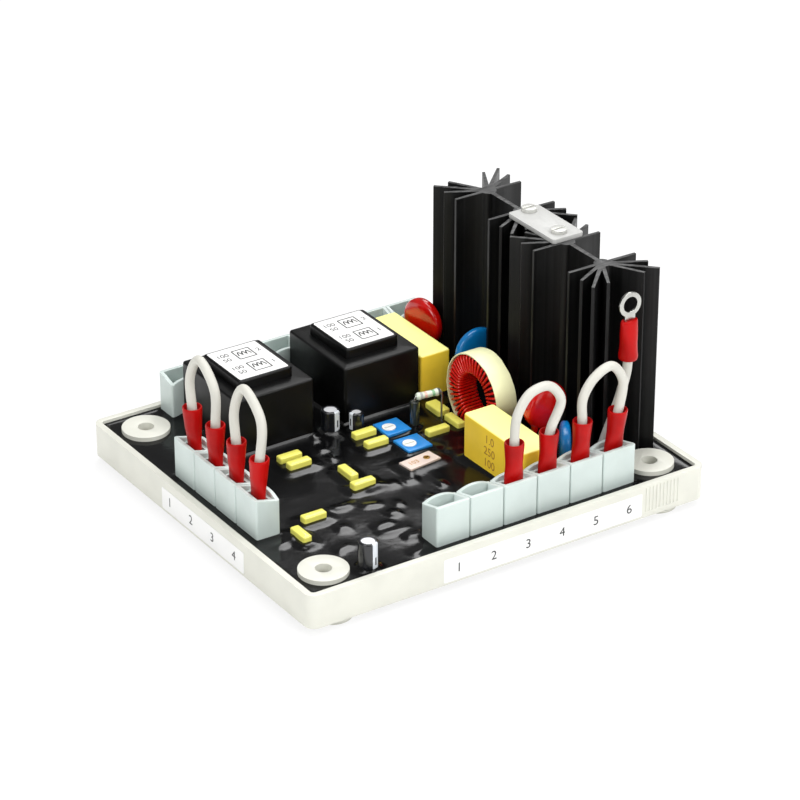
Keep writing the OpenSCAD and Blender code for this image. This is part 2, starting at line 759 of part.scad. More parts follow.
// Tab housing: a cup round one blade, with side walls that fall to a rounded inner wall
module tab_housing() {
    w = pitch - housing_gap;
    chord = w - 2 * housing_corner_r;
    arch_r = (chord ^ 2 / 4 + housing_arch ^ 2) / (2 * housing_arch);
    inside_y = strip_d / 2 - housing_wall;
    inner_h = housing_h - housing_fall;
    difference() {
        translate([0, 0, mount_z])
            upright_block(w, strip_d, housing_h, housing_corner_r);
        translate([-w / 2 - cut, 0, mount_z])
            rotate([90, 0, 90])
                linear_extrude(w + 2 * cut)
                    polygon([[-inside_y, housing_h], [inside_y, inner_h], [strip_d, inner_h],
                        [strip_d, housing_h + cut], [-inside_y, housing_h + cut]]);
        translate([0, 0, mount_z + housing_floor])
            linear_extrude(housing_h)
                square([w - 2 * housing_wall, strip_d - 2 * housing_wall], center = true);
        translate([0, 0, mount_z - cut])
            linear_extrude(housing_h)
                square([blade_w + 2 * receptacle_fit, blade_t + 2 * receptacle_fit], center = true);
    }
    translate([0, strip_d / 2, mount_z + inner_h])
        rotate([90, 0, 0])
            linear_extrude(housing_wall)
                intersection() {
                    translate([0, housing_arch - arch_r])
                        circle(arch_r, $fn = 96);
                    translate([-chord / 2, 0])
                        square([chord, housing_arch]);
                }
}

module front_tab_housings() color("honeydew")
    for (i = [0 : front_tabs - 1])
        at_front_tab(i)
            tab_housing();

module left_tab_housings() color("honeydew")
    for (i = [0 : left_tabs - 1])
        at_left_tab(i)
            tab_housing();

module rear_tab_housings() color("honeydew")
    for (i = [0 : rear_tabs - 1])
        at_rear_tab(i)
            tab_housing();

// Flat tab blade with a chamfered tip, standing on the board
module tab_blade()
    translate([0, blade_t / 2, mount_z])
        rotate([90, 0, 0])
            linear_extrude(blade_t)
                polygon([[-blade_w / 2, 0], [blade_w / 2, 0], [blade_w / 2, blade_h - blade_chamfer],
                    [blade_w / 2 - blade_chamfer, blade_h], [blade_chamfer - blade_w / 2, blade_h],
                    [-blade_w / 2, blade_h - blade_chamfer]]);

module front_tab_blades() color("silver")
    for (i = [0 : front_tabs - 1])
        at_front_tab(i)
            tab_blade();

module left_tab_blades() color("silver")
    for (i = [0 : left_tabs - 1])
        at_left_tab(i)
            tab_blade();

module rear_tab_blades() color("silver")
    for (i = [0 : rear_tabs - 1])
        at_rear_tab(i)
            tab_blade();

// Push-on receptacle: sheet rolled round both edges of the blade, open along the middle of one side
module receptacle() {
    w = blade_w + 2 * receptacle_fit;
    t = blade_t + 2 * receptacle_fit;
    translate([0, 0, mount_z + housing_floor])
        linear_extrude(receptacle_l)
            difference() {
                round_rect(w + 2 * receptacle_t, t + 2 * receptacle_t, receptacle_t);
                square([w, t], center = true);
                translate([-receptacle_slot / 2, 0])
                    square([receptacle_slot, t]);
            }
}

module front_receptacles() color("silver")
    for (i = front_sleeved)
        at_front_tab(i)
            receptacle();

module left_receptacles() color("silver")
    for (i = left_sleeved)
        at_left_tab(i)
            receptacle();

// Insulating shell that fills a cup round its receptacle and the foot of the sleeve
module shell() {
    margin = housing_wall + shell_fit;
    opening_d = sleeve_flat_t + sleeve_swell + 2 * shell_fit;
    translate([0, 0, mount_z + housing_floor])
        linear_extrude(housing_h - housing_fall - housing_floor - shell_drop)
            difference() {
                square([pitch - housing_gap - 2 * margin, strip_d - 2 * margin], center = true);
                round_rect(sleeve_flat_w + 2 * shell_play, opening_d, shell_corner_r);
            }
}

module front_shells() color("honeydew")
    for (i = front_sleeved)
        at_front_tab(i)
            shell();

module left_shells() color("honeydew")
    for (i = left_sleeved)
        at_left_tab(i)
            shell();

// Red sleeve: flat over the receptacle, then a waist and a flared round mouth with a seat for the wire
function lean_at(z, lean) = lean * z / sleeve_h;
module sleeve(lean) {
    mouth = sleeve_mouth_d - 2 * sleeve_lip;
    seat = wire_d + 2 * wire_fit;
    sections = [[sleeve_flat_w, sleeve_flat_t, 0],
        [sleeve_flat_w, sleeve_flat_t + sleeve_swell, sleeve_flat_l],
        [(sleeve_flat_w + sleeve_waist_d) / 2, (sleeve_flat_t + sleeve_waist_d) / 2,
            (sleeve_flat_l + sleeve_waist_z) / 2],
        [sleeve_waist_d, sleeve_waist_d, sleeve_waist_z], [sleeve_mouth_d, sleeve_mouth_d, sleeve_h],
        [mouth, mouth, sleeve_h], [seat, seat, wire_seat]];
    translate([0, 0, sleeve_z])
        loft([for (s = sections) oval(s[0], s[1], s[2], lean_at(s[2], lean))]);
}

module front_sleeves() color("red")
    for (k = [0 : len(front_sleeved) - 1])
        at_front_tab(front_sleeved[k])
            sleeve(front_lean[k]);

module left_sleeves() color("red")
    for (k = [0 : len(left_sleeved) - 1])
        at_left_tab(left_sleeved[k])
            sleeve(left_lean[k]);

// Jumper wire from one sleeve's seat to the next
module jumper(route, lean_a, lean_b) {
    seat = lean_at(wire_seat, 1);
    loop = [for (at = route) [at[0] * fit, at[1]]];
    translate([0, 0, sleeve_z + wire_seat])
        wire(concat([[lean_a * seat, 0]], loop, [[pitch + lean_b * seat, 0]]), jumper_steps);
}

module front_jumper_1() color("linen")
    at_front_tab(front_sleeved[0])
        jumper(front_jumper_1_route, front_lean[0], front_lean[1]);

module front_jumper_2() color("linen")
    at_front_tab(front_sleeved[2])
        jumper(front_jumper_2_route, front_lean[2], front_lean[3]);

module left_jumper_1() color("linen")
    at_left_tab(left_sleeved[0])
        jumper(left_jumper_1_route, left_lean[0], left_lean[1]);

module left_jumper_2() color("linen")
    at_left_tab(left_sleeved[2])
        jumper(left_jumper_2_route, left_lean[2], left_lean[3]);

// Free lead from the filling up to its sleeve and ring
module ring_lead() color("linen")
    translate([0, lead_y, filling_z])
        wire(lead_route, 1);

module ring_lead_sleeve() color("red") {
    sections = [[sleeve_mouth_d, sleeve_mouth_d, 0],
        [sleeve_waist_d, sleeve_waist_d, lead_sleeve_l / 3],
        [sleeve_mouth_d, sleeve_waist_d, lead_sleeve_l * 2 / 3],
        [sleeve_mouth_d, sleeve_flat_t, lead_sleeve_l]];
    translate([lead_end[0], lead_y, lead_sleeve_z])
        loft([for (s = sections) oval(s[0], s[1], s[2])]);
}

module ring_terminal() color("silver")
    translate([lead_end[0], lead_y + ring_t / 2, ring_z])
        rotate([90, 0, 0])
            linear_extrude(ring_t)
                difference() {
                    union() {
                        circle(d = ring_d);
                        translate([-ring_tongue_w / 2, -ring_rise])
                            square([ring_tongue_w, ring_rise]);
                    }
                    circle(d = ring_hole_d);
                }

// Heat sink profile: two fans of tapered fins, joined by a web along Y
module fin(tip) {
    l = norm(tip);
    rotate(atan2(tip[1], tip[0]))
        polygon([[0, -fin_root_t / 2], [l, -fin_tip_t / 2], [l, fin_tip_t / 2], [0, fin_root_t / 2]]);
}

module fan() {
    circle(d = hub_d);
    for (side = [-1, 1]) {
        fin([side * fin_reach, 0]);
        fin([side * fin_reach, side_fin_rise]);
        fin([side * fin_reach, fin_rise]);
        fin([side * end_fin_reach, fin_rise]);
    }
}

module sink_profile()
    difference() {
        scale(fit) {
            square([sink_web_t, fan_spacing], center = true);
            for (turn = [0, 180])
                rotate(turn)
                    translate([0, fan_spacing / 2])
                        fan();
        }
        for (side = [-1, 1])
            translate([0, side * tie_seat_y])
                circle(d = tie_screw_d + 2 * screw_fit);
    }

module heat_sink(at, transistor)
    difference() {
        translate([at[0], at[1], mount_z])
            linear_extrude(sink_h)
                sink_profile();
        translate([at[0], transistor[1], transistor_hole_z])
            rotate([0, 90, 0])
                cylinder(d = transistor_hole_d * fit, h = web_t + 2 * cut, center = true);
    }

module rear_heat_sink() color("dimgray")
    heat_sink(rear_sink, rear_transistor);

module front_heat_sink() color("dimgray")
    heat_sink(front_sink, front_transistor);

// White plate across the gap between the sinks, with a screw into each
module sink_tie_plate() color("white")
    translate([0, 0, sink_top])
        linear_extrude(tie_t)
            difference() {
                translate(tie_middle)
                    round_rect(tie_w, tie_l, tie_corner_r);
                for (at = tie_screws)
                    translate(at)
                        circle(d = tie_screw_d + 2 * screw_fit);
            }

// Screw along -Z from the underside of its head, with a slot across the head
module slotted_screw(d, l) {
    difference() {
        cylinder(d = screw_head_d, h = screw_head_h);
        translate([-screw_head_d, -slot_w / 2, screw_head_h - slot_depth])
            cube([2 * screw_head_d, slot_w, slot_depth + cut]);
    }
    translate([0, 0, -l])
        cylinder(d = d, h = l);
}

module tie_plate_screws() color("gainsboro")
    for (at = tie_screws)
        translate([at[0], at[1], sink_top + tie_t])
            slotted_screw(tie_screw_d, tie_screw_l);

// Power transistor: metal tab against the web, moulded body on its lower part and three leads
module transistor(at)
    on_board(at) {
        difference() {
            translate([-transistor_tab_t, -transistor_w / 2, transistor_lift])
                cube([transistor_tab_t, transistor_w, transistor_tab_h]);
            translate([0, 0, transistor_hole_h])
                rotate([0, 90, 0])
                    cylinder(d = transistor_hole_d, h = 4 * transistor_tab_t, center = true);
        }
        translate([-transistor_tab_t - transistor_body_t, -transistor_w / 2, transistor_lift])
            cube([transistor_body_t, transistor_w, transistor_body_h]);
        for (i = [-1 : 1])
            translate([-transistor_tab_t - transistor_lead_t,
                i * transistor_lead_pitch - transistor_lead_w / 2, 0])
                cube([transistor_lead_t, transistor_lead_w, transistor_lift]);
    }

module power_transistors() color("darkslategray") {
    transistor(rear_transistor);
    transistor(front_transistor);
}

module transistor_screws() color("gainsboro")
    for (at = [rear_transistor, front_transistor])
        on_board(at)
            translate([-transistor_tab_t, 0, transistor_hole_h])
                rotate([0, -90, 0])
                    slotted_screw(transistor_screw_d, transistor_tab_t + sink_web_t);

// Potted transformer with a raised block over its core
module transformer(x)
    on_board([x, transformer_y]) {
        upright_block(transformer_w, transformer_d, transformer_h, transformer_r);
        upright_block(block_w, block_d, transformer_h + block_h, transformer_r);
    }

module left_transformer() color("darkslategray")
    transformer(left_transformer_x);

module right_transformer() color("darkslategray")
    transformer(right_transformer_x);

module rear_box_capacitor() color("gold")
    on_board(rear_box_cap)
        upright_block(box_cap_w, box_cap_d, box_cap_h, box_cap_r);

module front_box_capacitor() color("gold")
    on_board(front_box_cap)
        upright_block(box_cap_w, box_cap_d, box_cap_h, box_cap_r);

module film_capacitors() color("gold") {
    for (at = film_caps)
        on_board(at)
            rotate(at[2])
                upright_block(film_cap_l, film_cap_t, film_cap_h, film_cap_r);
    on_board(wide_film_cap_at)
        rotate(wide_film_cap_at[2])
            upright_block(film_cap_l, wide_film_cap_t, film_cap_h, film_cap_r);
}

// Electrolytic can with a chamfered top and a dished end
module can(d, h) {
    r = d / 2;
    dish_r = r - 2 * can_chamfer;
    rotate_extrude()
        polygon([[0, 0], [r, 0], [r, h - can_chamfer], [r - can_chamfer, h],
            [dish_r, h], [dish_r, h - can_chamfer / 2], [0, h - can_chamfer / 2]]);
}

module electrolytic_capacitors() color("dimgray")
    for (at = cans)
        on_board(at)
            can(at[3], at[2]);

// Coated disc with a full round edge, standing on two leads
module disc(at, d, t) {
    lead_x = disc_lead_pitch / 2;
    on_board(at)
        rotate(at[3]) {
            translate([0, 0, at[2]])
                rotate([90, 0, 0])
                    rotate_extrude() {
                        translate([0, -t / 2])
                            square([d / 2 - t / 2, t]);
                        intersection() {
                            translate([d / 2 - t / 2, 0])
                                circle(d = t);
                            translate([0, -t])
                                square([d, 2 * t]);
                        }
                    }
            for (side = [-1, 1])
                translate([side * lead_x, 0, 0])
                    cylinder(d = disc_lead_d, h = at[2]);
        }
}

module rear_red_disc() color("firebrick")
    disc(rear_red_at, rear_red_disc_d, red_disc_t);

module front_red_disc() color("firebrick")
    disc(front_red_at, front_red_disc_d, red_disc_t);

module rear_blue_disc() color("steelblue")
    disc(rear_blue_at, rear_blue_disc_d, blue_disc_t);

module front_blue_disc() color("steelblue")
    disc(front_blue_at, front_blue_disc_d, blue_disc_t);

// Choke: ring core, one layer of turns round it and tape round the outside
module at_choke()
    on_board(choke_at)
        translate([0, 0, choke_d / 2])
            children();

module choke_ring(r_in, r_out, w)
    rotate([0, 90, 0])
        rotate_extrude()
            translate([r_in, -w / 2])
                square([r_out - r_in, w]);

module choke_envelope()
    at_choke()
        rotate([0, 90, 0])
            cylinder(r = choke_d / 2, h = 2 * choke_half_w, center = true);

module core_ring()
    choke_ring(choke_bore_d / 2 + core_inset, winding_r - core_inset, winding_w - 2 * core_inset);

module choke_core() color("gray")
    at_choke()
        core_ring();

module choke_winding() color("indianred")
    at_choke() {
        difference() {
            choke_ring(choke_bore_d / 2, winding_r, winding_w);
            core_ring();
        }
        for (i = [0 : turn_count - 1], side = [-1, 1])
            translate([side * winding_w / 2, 0, 0])
                rotate([360 * i / turn_count, 0, 0])
                    translate([0, 0, choke_bore_d / 2 + turn_d / 2])
                        cylinder(d = turn_d, h = winding_r - choke_bore_d / 2 - turn_d, $fn = 24);
    }

module choke_tape() color("wheat")
    at_choke()
        choke_ring(winding_r, choke_d / 2, tape_w);

// Square trimmer with a seat for its rotor
module rotor_seat(d, stem) {
    translate([0, 0, -rotor_depth - rotor_fit])
        cylinder(d = d + 2 * rotor_fit, h = rotor_depth + cut);
    translate([0, 0, -rotor_depth - stem_l - 2 * rotor_fit])
        cylinder(d = stem + 2 * rotor_fit, h = stem_l + cut);
}

module trimmer_body(at)
    on_board(at)
        difference() {
            translate([-trimmer_side / 2, -trimmer_side / 2, 0])
                cube([trimmer_side, trimmer_side, trimmer_h]);
            translate([-rotor_shift, 0, trimmer_h])
                rotor_seat(rotor_d, stem_d);
        }

// Rotor or adjusting screw: a slotted head on a stem, its face proud of the body by a little
module slotted_rotor(d, stem) {
    translate([0, 0, -rotor_depth])
        difference() {
            cylinder(d = d, h = rotor_depth + rotor_proud);
            translate([slot_end - d / 2, -slot_w / 2, rotor_depth + rotor_proud - slot_depth])
                cube([d - 2 * slot_end, slot_w, slot_depth + cut]);
        }
    translate([0, 0, -rotor_depth - stem_l])
        cylinder(d = stem, h = stem_l);
}

module rear_trimmer() color("royalblue")
    trimmer_body(rear_trimmer_at);

module rear_trimmer_rotor() color("white")
    on_board(rear_trimmer_at)
        translate([-rotor_shift, 0, trimmer_h])
            slotted_rotor(rotor_d, stem_d);

module front_trimmer() color("royalblue")
    trimmer_body(front_trimmer_at);

module front_trimmer_rotor() color("white")
    on_board(front_trimmer_at)
        translate([-rotor_shift, 0, trimmer_h])
            slotted_rotor(rotor_d, stem_d);

// Flat trimmer with an adjusting screw of many turns near one end
module multiturn_trimmer() color("mistyrose")
    on_board(multiturn_at)
        rotate(multiturn_at[2])
            difference() {
                translate([-multiturn_l / 2, -multiturn_t / 2, 0])
                    cube([multiturn_l, multiturn_t, multiturn_h]);
                translate([adjuster_shift, 0, multiturn_h])
                    rotor_seat(adjuster_d, adjuster_stem_d);
            }

module multiturn_screw() color("goldenrod")
    on_board(multiturn_at)
        rotate(multiturn_at[2])
            translate([adjuster_shift, 0, multiturn_h])
                slotted_rotor(adjuster_d, adjuster_stem_d);

// Axial part over the board on two bent leads, its axis at height z
module axial_part(at, d, l, pitch, z)
    on_board(at)
        rotate(at[2]) {
            translate([0, 0, z])
                rotate([0, 90, 0]) {
                    cylinder(d = d, h = l, center = true);
                    cylinder(d = axial_lead_d, h = pitch, center = true);
                }
            for (side = [-1, 1])
                translate([side * pitch / 2, 0, 0])
                    cylinder(d = axial_lead_d, h = z + axial_lead_d / 2);
        }

module raised_resistor() color("palegreen")
    axial_part(raised_at, raised_d, raised_l, raised_pitch, raised_h);

module raised_lead_sleeve() color("darkslategray")
    on_board(raised_at)
        rotate(raised_at[2])
            translate([-raised_pitch / 2, 0, 0])
                linear_extrude(raised_h - raised_d / 2 - raised_sleeve_drop)
                    difference() {
                        circle(d = raised_sleeve_d);
                        circle(d = axial_lead_d + 2 * wire_fit);
                    }

module axial_resistors() color("tan")
    for (at = resistors)
        axial_part(at, resistor_d, resistor_l, axial_pitch, resistor_d / 2 + axial_lift);

module rectifier_diodes() color("dimgray")
    for (at = diodes)
        axial_part(at, diode_d, diode_l, axial_pitch, diode_d / 2 + axial_lift);

module control_chips() color("dimgray")
    for (at = chips)
        on_board(at)
            upright_block(chip_l, chip_w, chip_h, chip_r);

tray();
potting();
circuit_board();
front_tab_housings();
left_tab_housings();
rear_tab_housings();
front_tab_blades();
left_tab_blades();
rear_tab_blades();
front_receptacles();
left_receptacles();
front_shells();
left_shells();
front_sleeves();
left_sleeves();
front_jumper_1();
front_jumper_2();
left_jumper_1();
left_jumper_2();
ring_lead();
ring_lead_sleeve();
ring_terminal();
rear_heat_sink();
front_heat_sink();
sink_tie_plate();
tie_plate_screws();
power_transistors();
transistor_screws();
left_transformer();
right_transformer();
rear_box_capacitor();
front_box_capacitor();
film_capacitors();
electrolytic_capacitors();
rear_red_disc();
front_red_disc();
rear_blue_disc();
front_blue_disc();
choke_core();
choke_winding();
choke_tape();
rear_trimmer();
rear_trimmer_rotor();
front_trimmer();
front_trimmer_rotor();
multiturn_trimmer();
multiturn_screw();
raised_resistor();
raised_lead_sleeve();
axial_resistors();
rectifier_diodes();
control_chips();
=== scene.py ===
"""Looks of a potted voltage regulator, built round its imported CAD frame.

Lengths in the classes are millimetres in the part's own frame, and become metres where a mesh is made.
"""

import json
import logging
import math
from dataclasses import dataclass
from enum import Enum
from typing import Any, Optional, Sequence, Union

import bmesh
import bpy
import numpy as np
from mathutils import Matrix, Vector

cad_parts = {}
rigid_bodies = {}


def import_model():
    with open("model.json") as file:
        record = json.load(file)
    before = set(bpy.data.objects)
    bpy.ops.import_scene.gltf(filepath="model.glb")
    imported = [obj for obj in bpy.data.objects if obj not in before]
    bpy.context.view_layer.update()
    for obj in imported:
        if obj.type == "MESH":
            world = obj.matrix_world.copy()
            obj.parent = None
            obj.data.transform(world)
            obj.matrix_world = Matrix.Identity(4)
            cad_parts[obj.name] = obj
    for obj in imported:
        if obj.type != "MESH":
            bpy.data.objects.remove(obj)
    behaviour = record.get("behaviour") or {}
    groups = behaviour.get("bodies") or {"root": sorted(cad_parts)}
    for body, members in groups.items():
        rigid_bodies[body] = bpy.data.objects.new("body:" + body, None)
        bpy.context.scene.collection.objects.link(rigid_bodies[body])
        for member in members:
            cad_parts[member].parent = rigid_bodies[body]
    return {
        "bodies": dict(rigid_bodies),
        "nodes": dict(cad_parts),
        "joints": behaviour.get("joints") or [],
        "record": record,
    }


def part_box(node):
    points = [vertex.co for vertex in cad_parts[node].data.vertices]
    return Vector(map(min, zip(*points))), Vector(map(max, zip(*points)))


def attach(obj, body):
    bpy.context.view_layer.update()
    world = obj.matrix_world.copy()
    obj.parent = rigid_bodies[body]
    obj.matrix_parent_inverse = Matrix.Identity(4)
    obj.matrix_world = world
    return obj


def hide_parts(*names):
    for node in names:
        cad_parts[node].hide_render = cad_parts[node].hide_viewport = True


LOG = logging.getLogger("regulator")
MM = 0.001
BODY = "regulator"

# Heights of the circuit board and of the resin, and the turn of the raised resistor from X in degrees
BOARD_TOP = 9.1
RESIN_TOP = 12.6
RAISED_TURN = -6.5

Colour = tuple[float, float, float]
Point = tuple[float, float, float]
Span = tuple[float, float]
Footprint = tuple[float, float, float, float, float]
Mark = tuple[str, float, float]
Socket = bpy.types.NodeSocket


class Axis(Enum):
    """One of the frame's directions, by its place in a vector."""

    X = 0
    Y = 1
    Z = 2


def linear(colour: Colour) -> tuple[float, float, float, float]:
    """Turns a colour as seen on screen into the linear colour that a shader takes.

    Args:
        colour: red, green and blue from 0 to 1, as on screen.

    Returns:
        The linear colour, by the screen's own power curve, with alpha 1.
    """
    seen = np.array(colour, float)
    low = seen / 12.92
    high = ((seen + 0.055) / 1.055) ** 2.4
    return (*np.where(seen <= 0.04045, low, high).tolist(), 1.0)


# Shaders


class Level:
    """A shader socket that holds one number, with arithmetic that adds Math nodes."""

    def __init__(self, graph: "Graph", socket: Socket) -> None:
        """Wraps one output socket of a node tree."""
        self.graph = graph
        self.socket = socket

    def _math(self, operation: str, first: Any, second: Any) -> "Level":
        """Adds one Math node on two numbers or levels and wraps its output."""
        made = self.graph.node("ShaderNodeMath", {"operation": operation}, {0: first, 1: second})
        return Level(self.graph, made.outputs[0])

    def __add__(self, other: Any) -> "Level":
        """Sum."""
        return self._math("ADD", self, other)

    __radd__ = __add__

    def __sub__(self, other: Any) -> "Level":
        """Difference."""
        return self._math("SUBTRACT", self, other)

    def __rsub__(self, other: Any) -> "Level":
        """Difference taken the other way round."""
        return self._math("SUBTRACT", other, self)

    def __mul__(self, other: Any) -> "Level":
        """Product."""
        return self._math("MULTIPLY", self, other)

    __rmul__ = __mul__

    def step(self, low: float, high: float) -> "Level":
        """Smooth step that is 0 below low and 1 above high.

        Args:
            low: value where the step starts.
            high: value where the step ends, which may lie below low for a falling step.

        Returns:
            The stepped level.
        """
        made = self.graph.node(
            "ShaderNodeMapRange",
            {"interpolation_type": "SMOOTHSTEP"},
            {"Value": self, "From Min": low, "From Max": high},
        )
        return Level(self.graph, made.outputs[0])

    def between(self, low: float, high: float, edge: float) -> "Level":
        """1 from low to high and 0 outside, with a soft edge of that width inside each end."""
        return self.step(low, low + edge) * self.step(high, high - edge)


class Graph:
    """A node tree with one way to add and link nodes."""

    def __init__(self, tree: bpy.types.NodeTree) -> None:
        """Wraps a node tree."""
        self.tree = tree

    def node(
        self, kind: str, settings: dict[str, Any], sockets: dict[Union[int, str], Any]
    ) -> bpy.types.Node:
        """Adds one node.

        Args:
            kind: the node's type.
            settings: its own settings, set before its sockets.
            sockets: values or links of its inputs, by name or number.

        Returns:
            The new node.
        """
        made = self.tree.nodes.new(kind)
        for key, value in settings.items():
            setattr(made, key, value)
        for key, value in sockets.items():
            self.feed(made.inputs[key], value)
        return made

    def feed(self, target: Socket, value: Any) -> None:
        """Links a level or a socket to an input, or sets the input's own value.

        Args:
            target: the input.
            value: a level, an output socket or a plain value.
        """
        if isinstance(value, Level):
            self.tree.links.new(value.socket, target)
        elif isinstance(value, Socket):
            self.tree.links.new(value, target)
        else:
            target.default_value = value

    def ray(self, kind: str) -> Level:
        """1 for light paths of that kind, such as Is Camera Ray, and 0 for others."""
        return Level(self, self.node("ShaderNodeLightPath", {}, {}).outputs[kind])


class Shader(Graph):
    """One material's node tree round its Principled shader."""

    def __init__(self, name: str) -> None:
        """Starts a new material with that name.

        Args:
            name: the material's name.
        """
        self.material = bpy.data.materials.new(name)
        self.material.use_nodes = True
        super().__init__(self.material.node_tree)
        self.surface = self.tree.nodes["Principled BSDF"]
        self._place: Optional[Socket] = None

    def place(self) -> Socket:
        """The surface point in the part's frame, in metres.

        Returns:
            The socket of the Object coordinates, made once.
        """
        if self._place is None:
            self._place = self.node("ShaderNodeTexCoord", {}, {}).outputs["Object"]
        return self._place

    def along(self, axis: Axis) -> Level:
        """One coordinate of the surface point, in metres."""
        parts = self.node("ShaderNodeSeparateXYZ", {}, {0: self.place()})
        return Level(self, parts.outputs[axis.value])

    def above(self, height: float, reach: float, margin: float = 0.05) -> Level:
        """0 up to reach below a height and 1 from a margin below it, all in millimetres."""
        return self.along(Axis.Z).step((height - reach) * MM, (height - margin) * MM)

    def around(self) -> Level:
        """How far round a turned piece the point lies, from 0 to 1, by its UV map."""
        uv = self.node("ShaderNodeUVMap", {"uv_map": "turn"}, {}).outputs[0]
        return Level(self, self.node("ShaderNodeSeparateXYZ", {}, {0: uv}).outputs[0])

    def noise(self, scale: float, detail: float = 3.0, stretch: Point = (1.0, 1.0, 1.0)) -> Level:
        """Cloudy noise from 0 to 1.

        Args:
            scale: clouds per metre.
            detail: octaves of finer clouds.
            stretch: factors on X, Y and Z, where a small one draws the clouds out along that axis.

        Returns:
            The noise level.
        """
        spot = self.node("ShaderNodeMapping", {}, {"Vector": self.place(), "Scale": stretch})
        made = self.node(
            "ShaderNodeTexNoise", {}, {"Vector": spot.outputs[0], "Scale": scale, "Detail": detail}
        )
        return Level(self, made.outputs[0])

    def mix(self, share: Level, first: Any, second: Any) -> Socket:
        """Blend of two colours, all first where share is 0."""
        made = self.node("ShaderNodeMix", {"data_type": "RGBA"}, {0: share, 6: first, 7: second})
        return made.outputs[2]

    def bump(self, height: Level, strength: float, depth: float) -> Socket:
        """Normal that follows a height level, depth in metres."""
        made = self.node("ShaderNodeBump", {}, {"Strength": strength, "Distance": depth, "Height": height})
        return made.outputs[0]

    def dress(self, **sockets: Any) -> None:
        """Feeds the Principled shader's inputs, named with underscores for spaces."""
        for key, value in sockets.items():
            self.feed(self.surface.inputs[key.replace("_", " ")], value)


@dataclass(frozen=True)
class Finish:
    """A plain finish: one colour with slight clouding, a band of roughness and a fine grain."""

    name: str
    colour: Colour
    roughness: float = 0.45
    metallic: float = 0.0
    specular: float = 0.5
    coat: float = 0.0
    clouding: float = 0.08
    cloud_scale: float = 90.0
    grain_scale: float = 1800.0
    grain: float = 0.12
    grain_depth: float = 0.00003
    stretch: Point = (1.0, 1.0, 1.0)
    milkiness: float = 0.0
    milk_depth: float = 0.002
    patchiness: float = 0.2
    patch_share: float = 2.3
    coat_roughness: float = 0.08

    def tone(self, shader: Shader) -> Socket:
        """Base colour: the finish's colour, clouded towards a darker one.

        Args:
            shader: the material's shader.

        Returns:
            The socket of the colour.
        """
        shade = tuple(c * (1 - 2 * self.clouding) for c in self.colour)
        cloud = shader.noise(self.cloud_scale, detail=4.0, stretch=self.stretch).step(0.35, 0.75)
        return shader.mix(cloud, linear(self.colour), linear(shade))

    def gloss(self, shader: Shader) -> Level:
        """Roughness: the finish's own, a fifth up or down in soft patches.

        Args:
            shader: the material's shader.

        Returns:
            The level of the roughness.
        """
        swing = self.patchiness * self.roughness
        patches = shader.noise(self.cloud_scale * self.patch_share, detail=2.0)
        return patches * (2 * swing) + (self.roughness - swing)

    def relief(self, shader: Shader) -> Socket:
        """Normal of the fine grain."""
        grain = shader.noise(self.grain_scale, stretch=self.stretch)
        return shader.bump(grain, self.grain, self.grain_depth)

    def material(self) -> bpy.types.Material:
        """The finish's material, made once.

        Returns:
            The new material, or the one that already has the finish's name.
        """
        known = bpy.data.materials.get(self.name)
        if known is not None:
            return known
        shader = Shader(self.name)
        shader.dress(
            Base_Color=self.tone(shader),
            Roughness=self.gloss(shader),
            Normal=self.relief(shader),
            Metallic=self.metallic,
            Specular_IOR_Level=self.specular,
            Coat_Weight=self.coat,
            Coat_Roughness=self.coat_roughness,
        )
        if self.milkiness > 0:
            shader.dress(
                Subsurface_Weight=self.milkiness,
                Subsurface_Radius=(1.0, 1.0, 1.0),
                Subsurface_Scale=self.milk_depth,
            )
        return shader.material


@dataclass(frozen=True)
class AnodisedFinish(Finish):
    """Black anodised extrusion: die lines along Z and bright cut ends."""

    cut_height: float = 77.1
    cut_reach: float = 0.22
    cut_colour: Colour = (0.34, 0.34, 0.34)
    line_scale: float = 900.0
    line_lift: float = 2.0
    saw_scale: float = 700.0
    saw_shade: float = 0.55
    ridge_scale: float = 1500.0
    ridge: float = 0.25
    ridge_depth: float = 0.00004

    def tone(self, shader: Shader) -> Socket:
        """Base colour: black with faint upright die lines, grey where the saw cut the end.

        Args:
            shader: the material's shader.

        Returns:
            The socket of the colour.
        """
        lines = shader.noise(self.line_scale, detail=2.0, stretch=(1.0, 1.0, 0.01)).step(0.35, 0.7)
        lit = tuple(self.line_lift * c for c in self.colour)
        side = shader.mix(lines, linear(self.colour), linear(lit))
        cut = shader.above(self.cut_height, self.cut_reach)
        saw = shader.noise(self.saw_scale, stretch=(0.12, 1.0, 1.0)).step(0.25, 0.75)
        dim = tuple(self.saw_shade * c for c in self.cut_colour)
        end = shader.mix(saw, linear(self.cut_colour), linear(dim))
        return shader.mix(cut, side, end)

    def relief(self, shader: Shader) -> Socket:
        """Normal of the upright die lines."""
        ridges = shader.noise(self.ridge_scale, detail=2.0, stretch=(1.0, 1.0, 0.008))
        return shader.bump(ridges, self.ridge, self.ridge_depth)


@dataclass(frozen=True)
class ResinFinish(Finish):
    """Cast black resin: a wet gloss, duller where dust and bubbles lie."""

    dullness: float = 0.10
    dust_scale: float = 70.0
    swell_scale: float = 160.0
    ripple_scale: float = 600.0
    ripple_share: float = 0.25

    def gloss(self, shader: Shader) -> Level:
        """Roughness: wet, with dull clouds."""
        dull = shader.noise(self.dust_scale, detail=4.0).step(0.55, 0.8)
        return dull * self.dullness + self.roughness

    def relief(self, shader: Shader) -> Socket:
        """Normal of a slow swell with finer ripples on it.

        Args:
            shader: the material's shader.

        Returns:
            The socket of the normal.
        """
        swell = shader.noise(self.swell_scale, detail=2.0)
        ripples = shader.noise(self.ripple_scale, detail=2.0) * self.ripple_share
        return shader.bump(swell + ripples, self.grain, self.grain_depth)


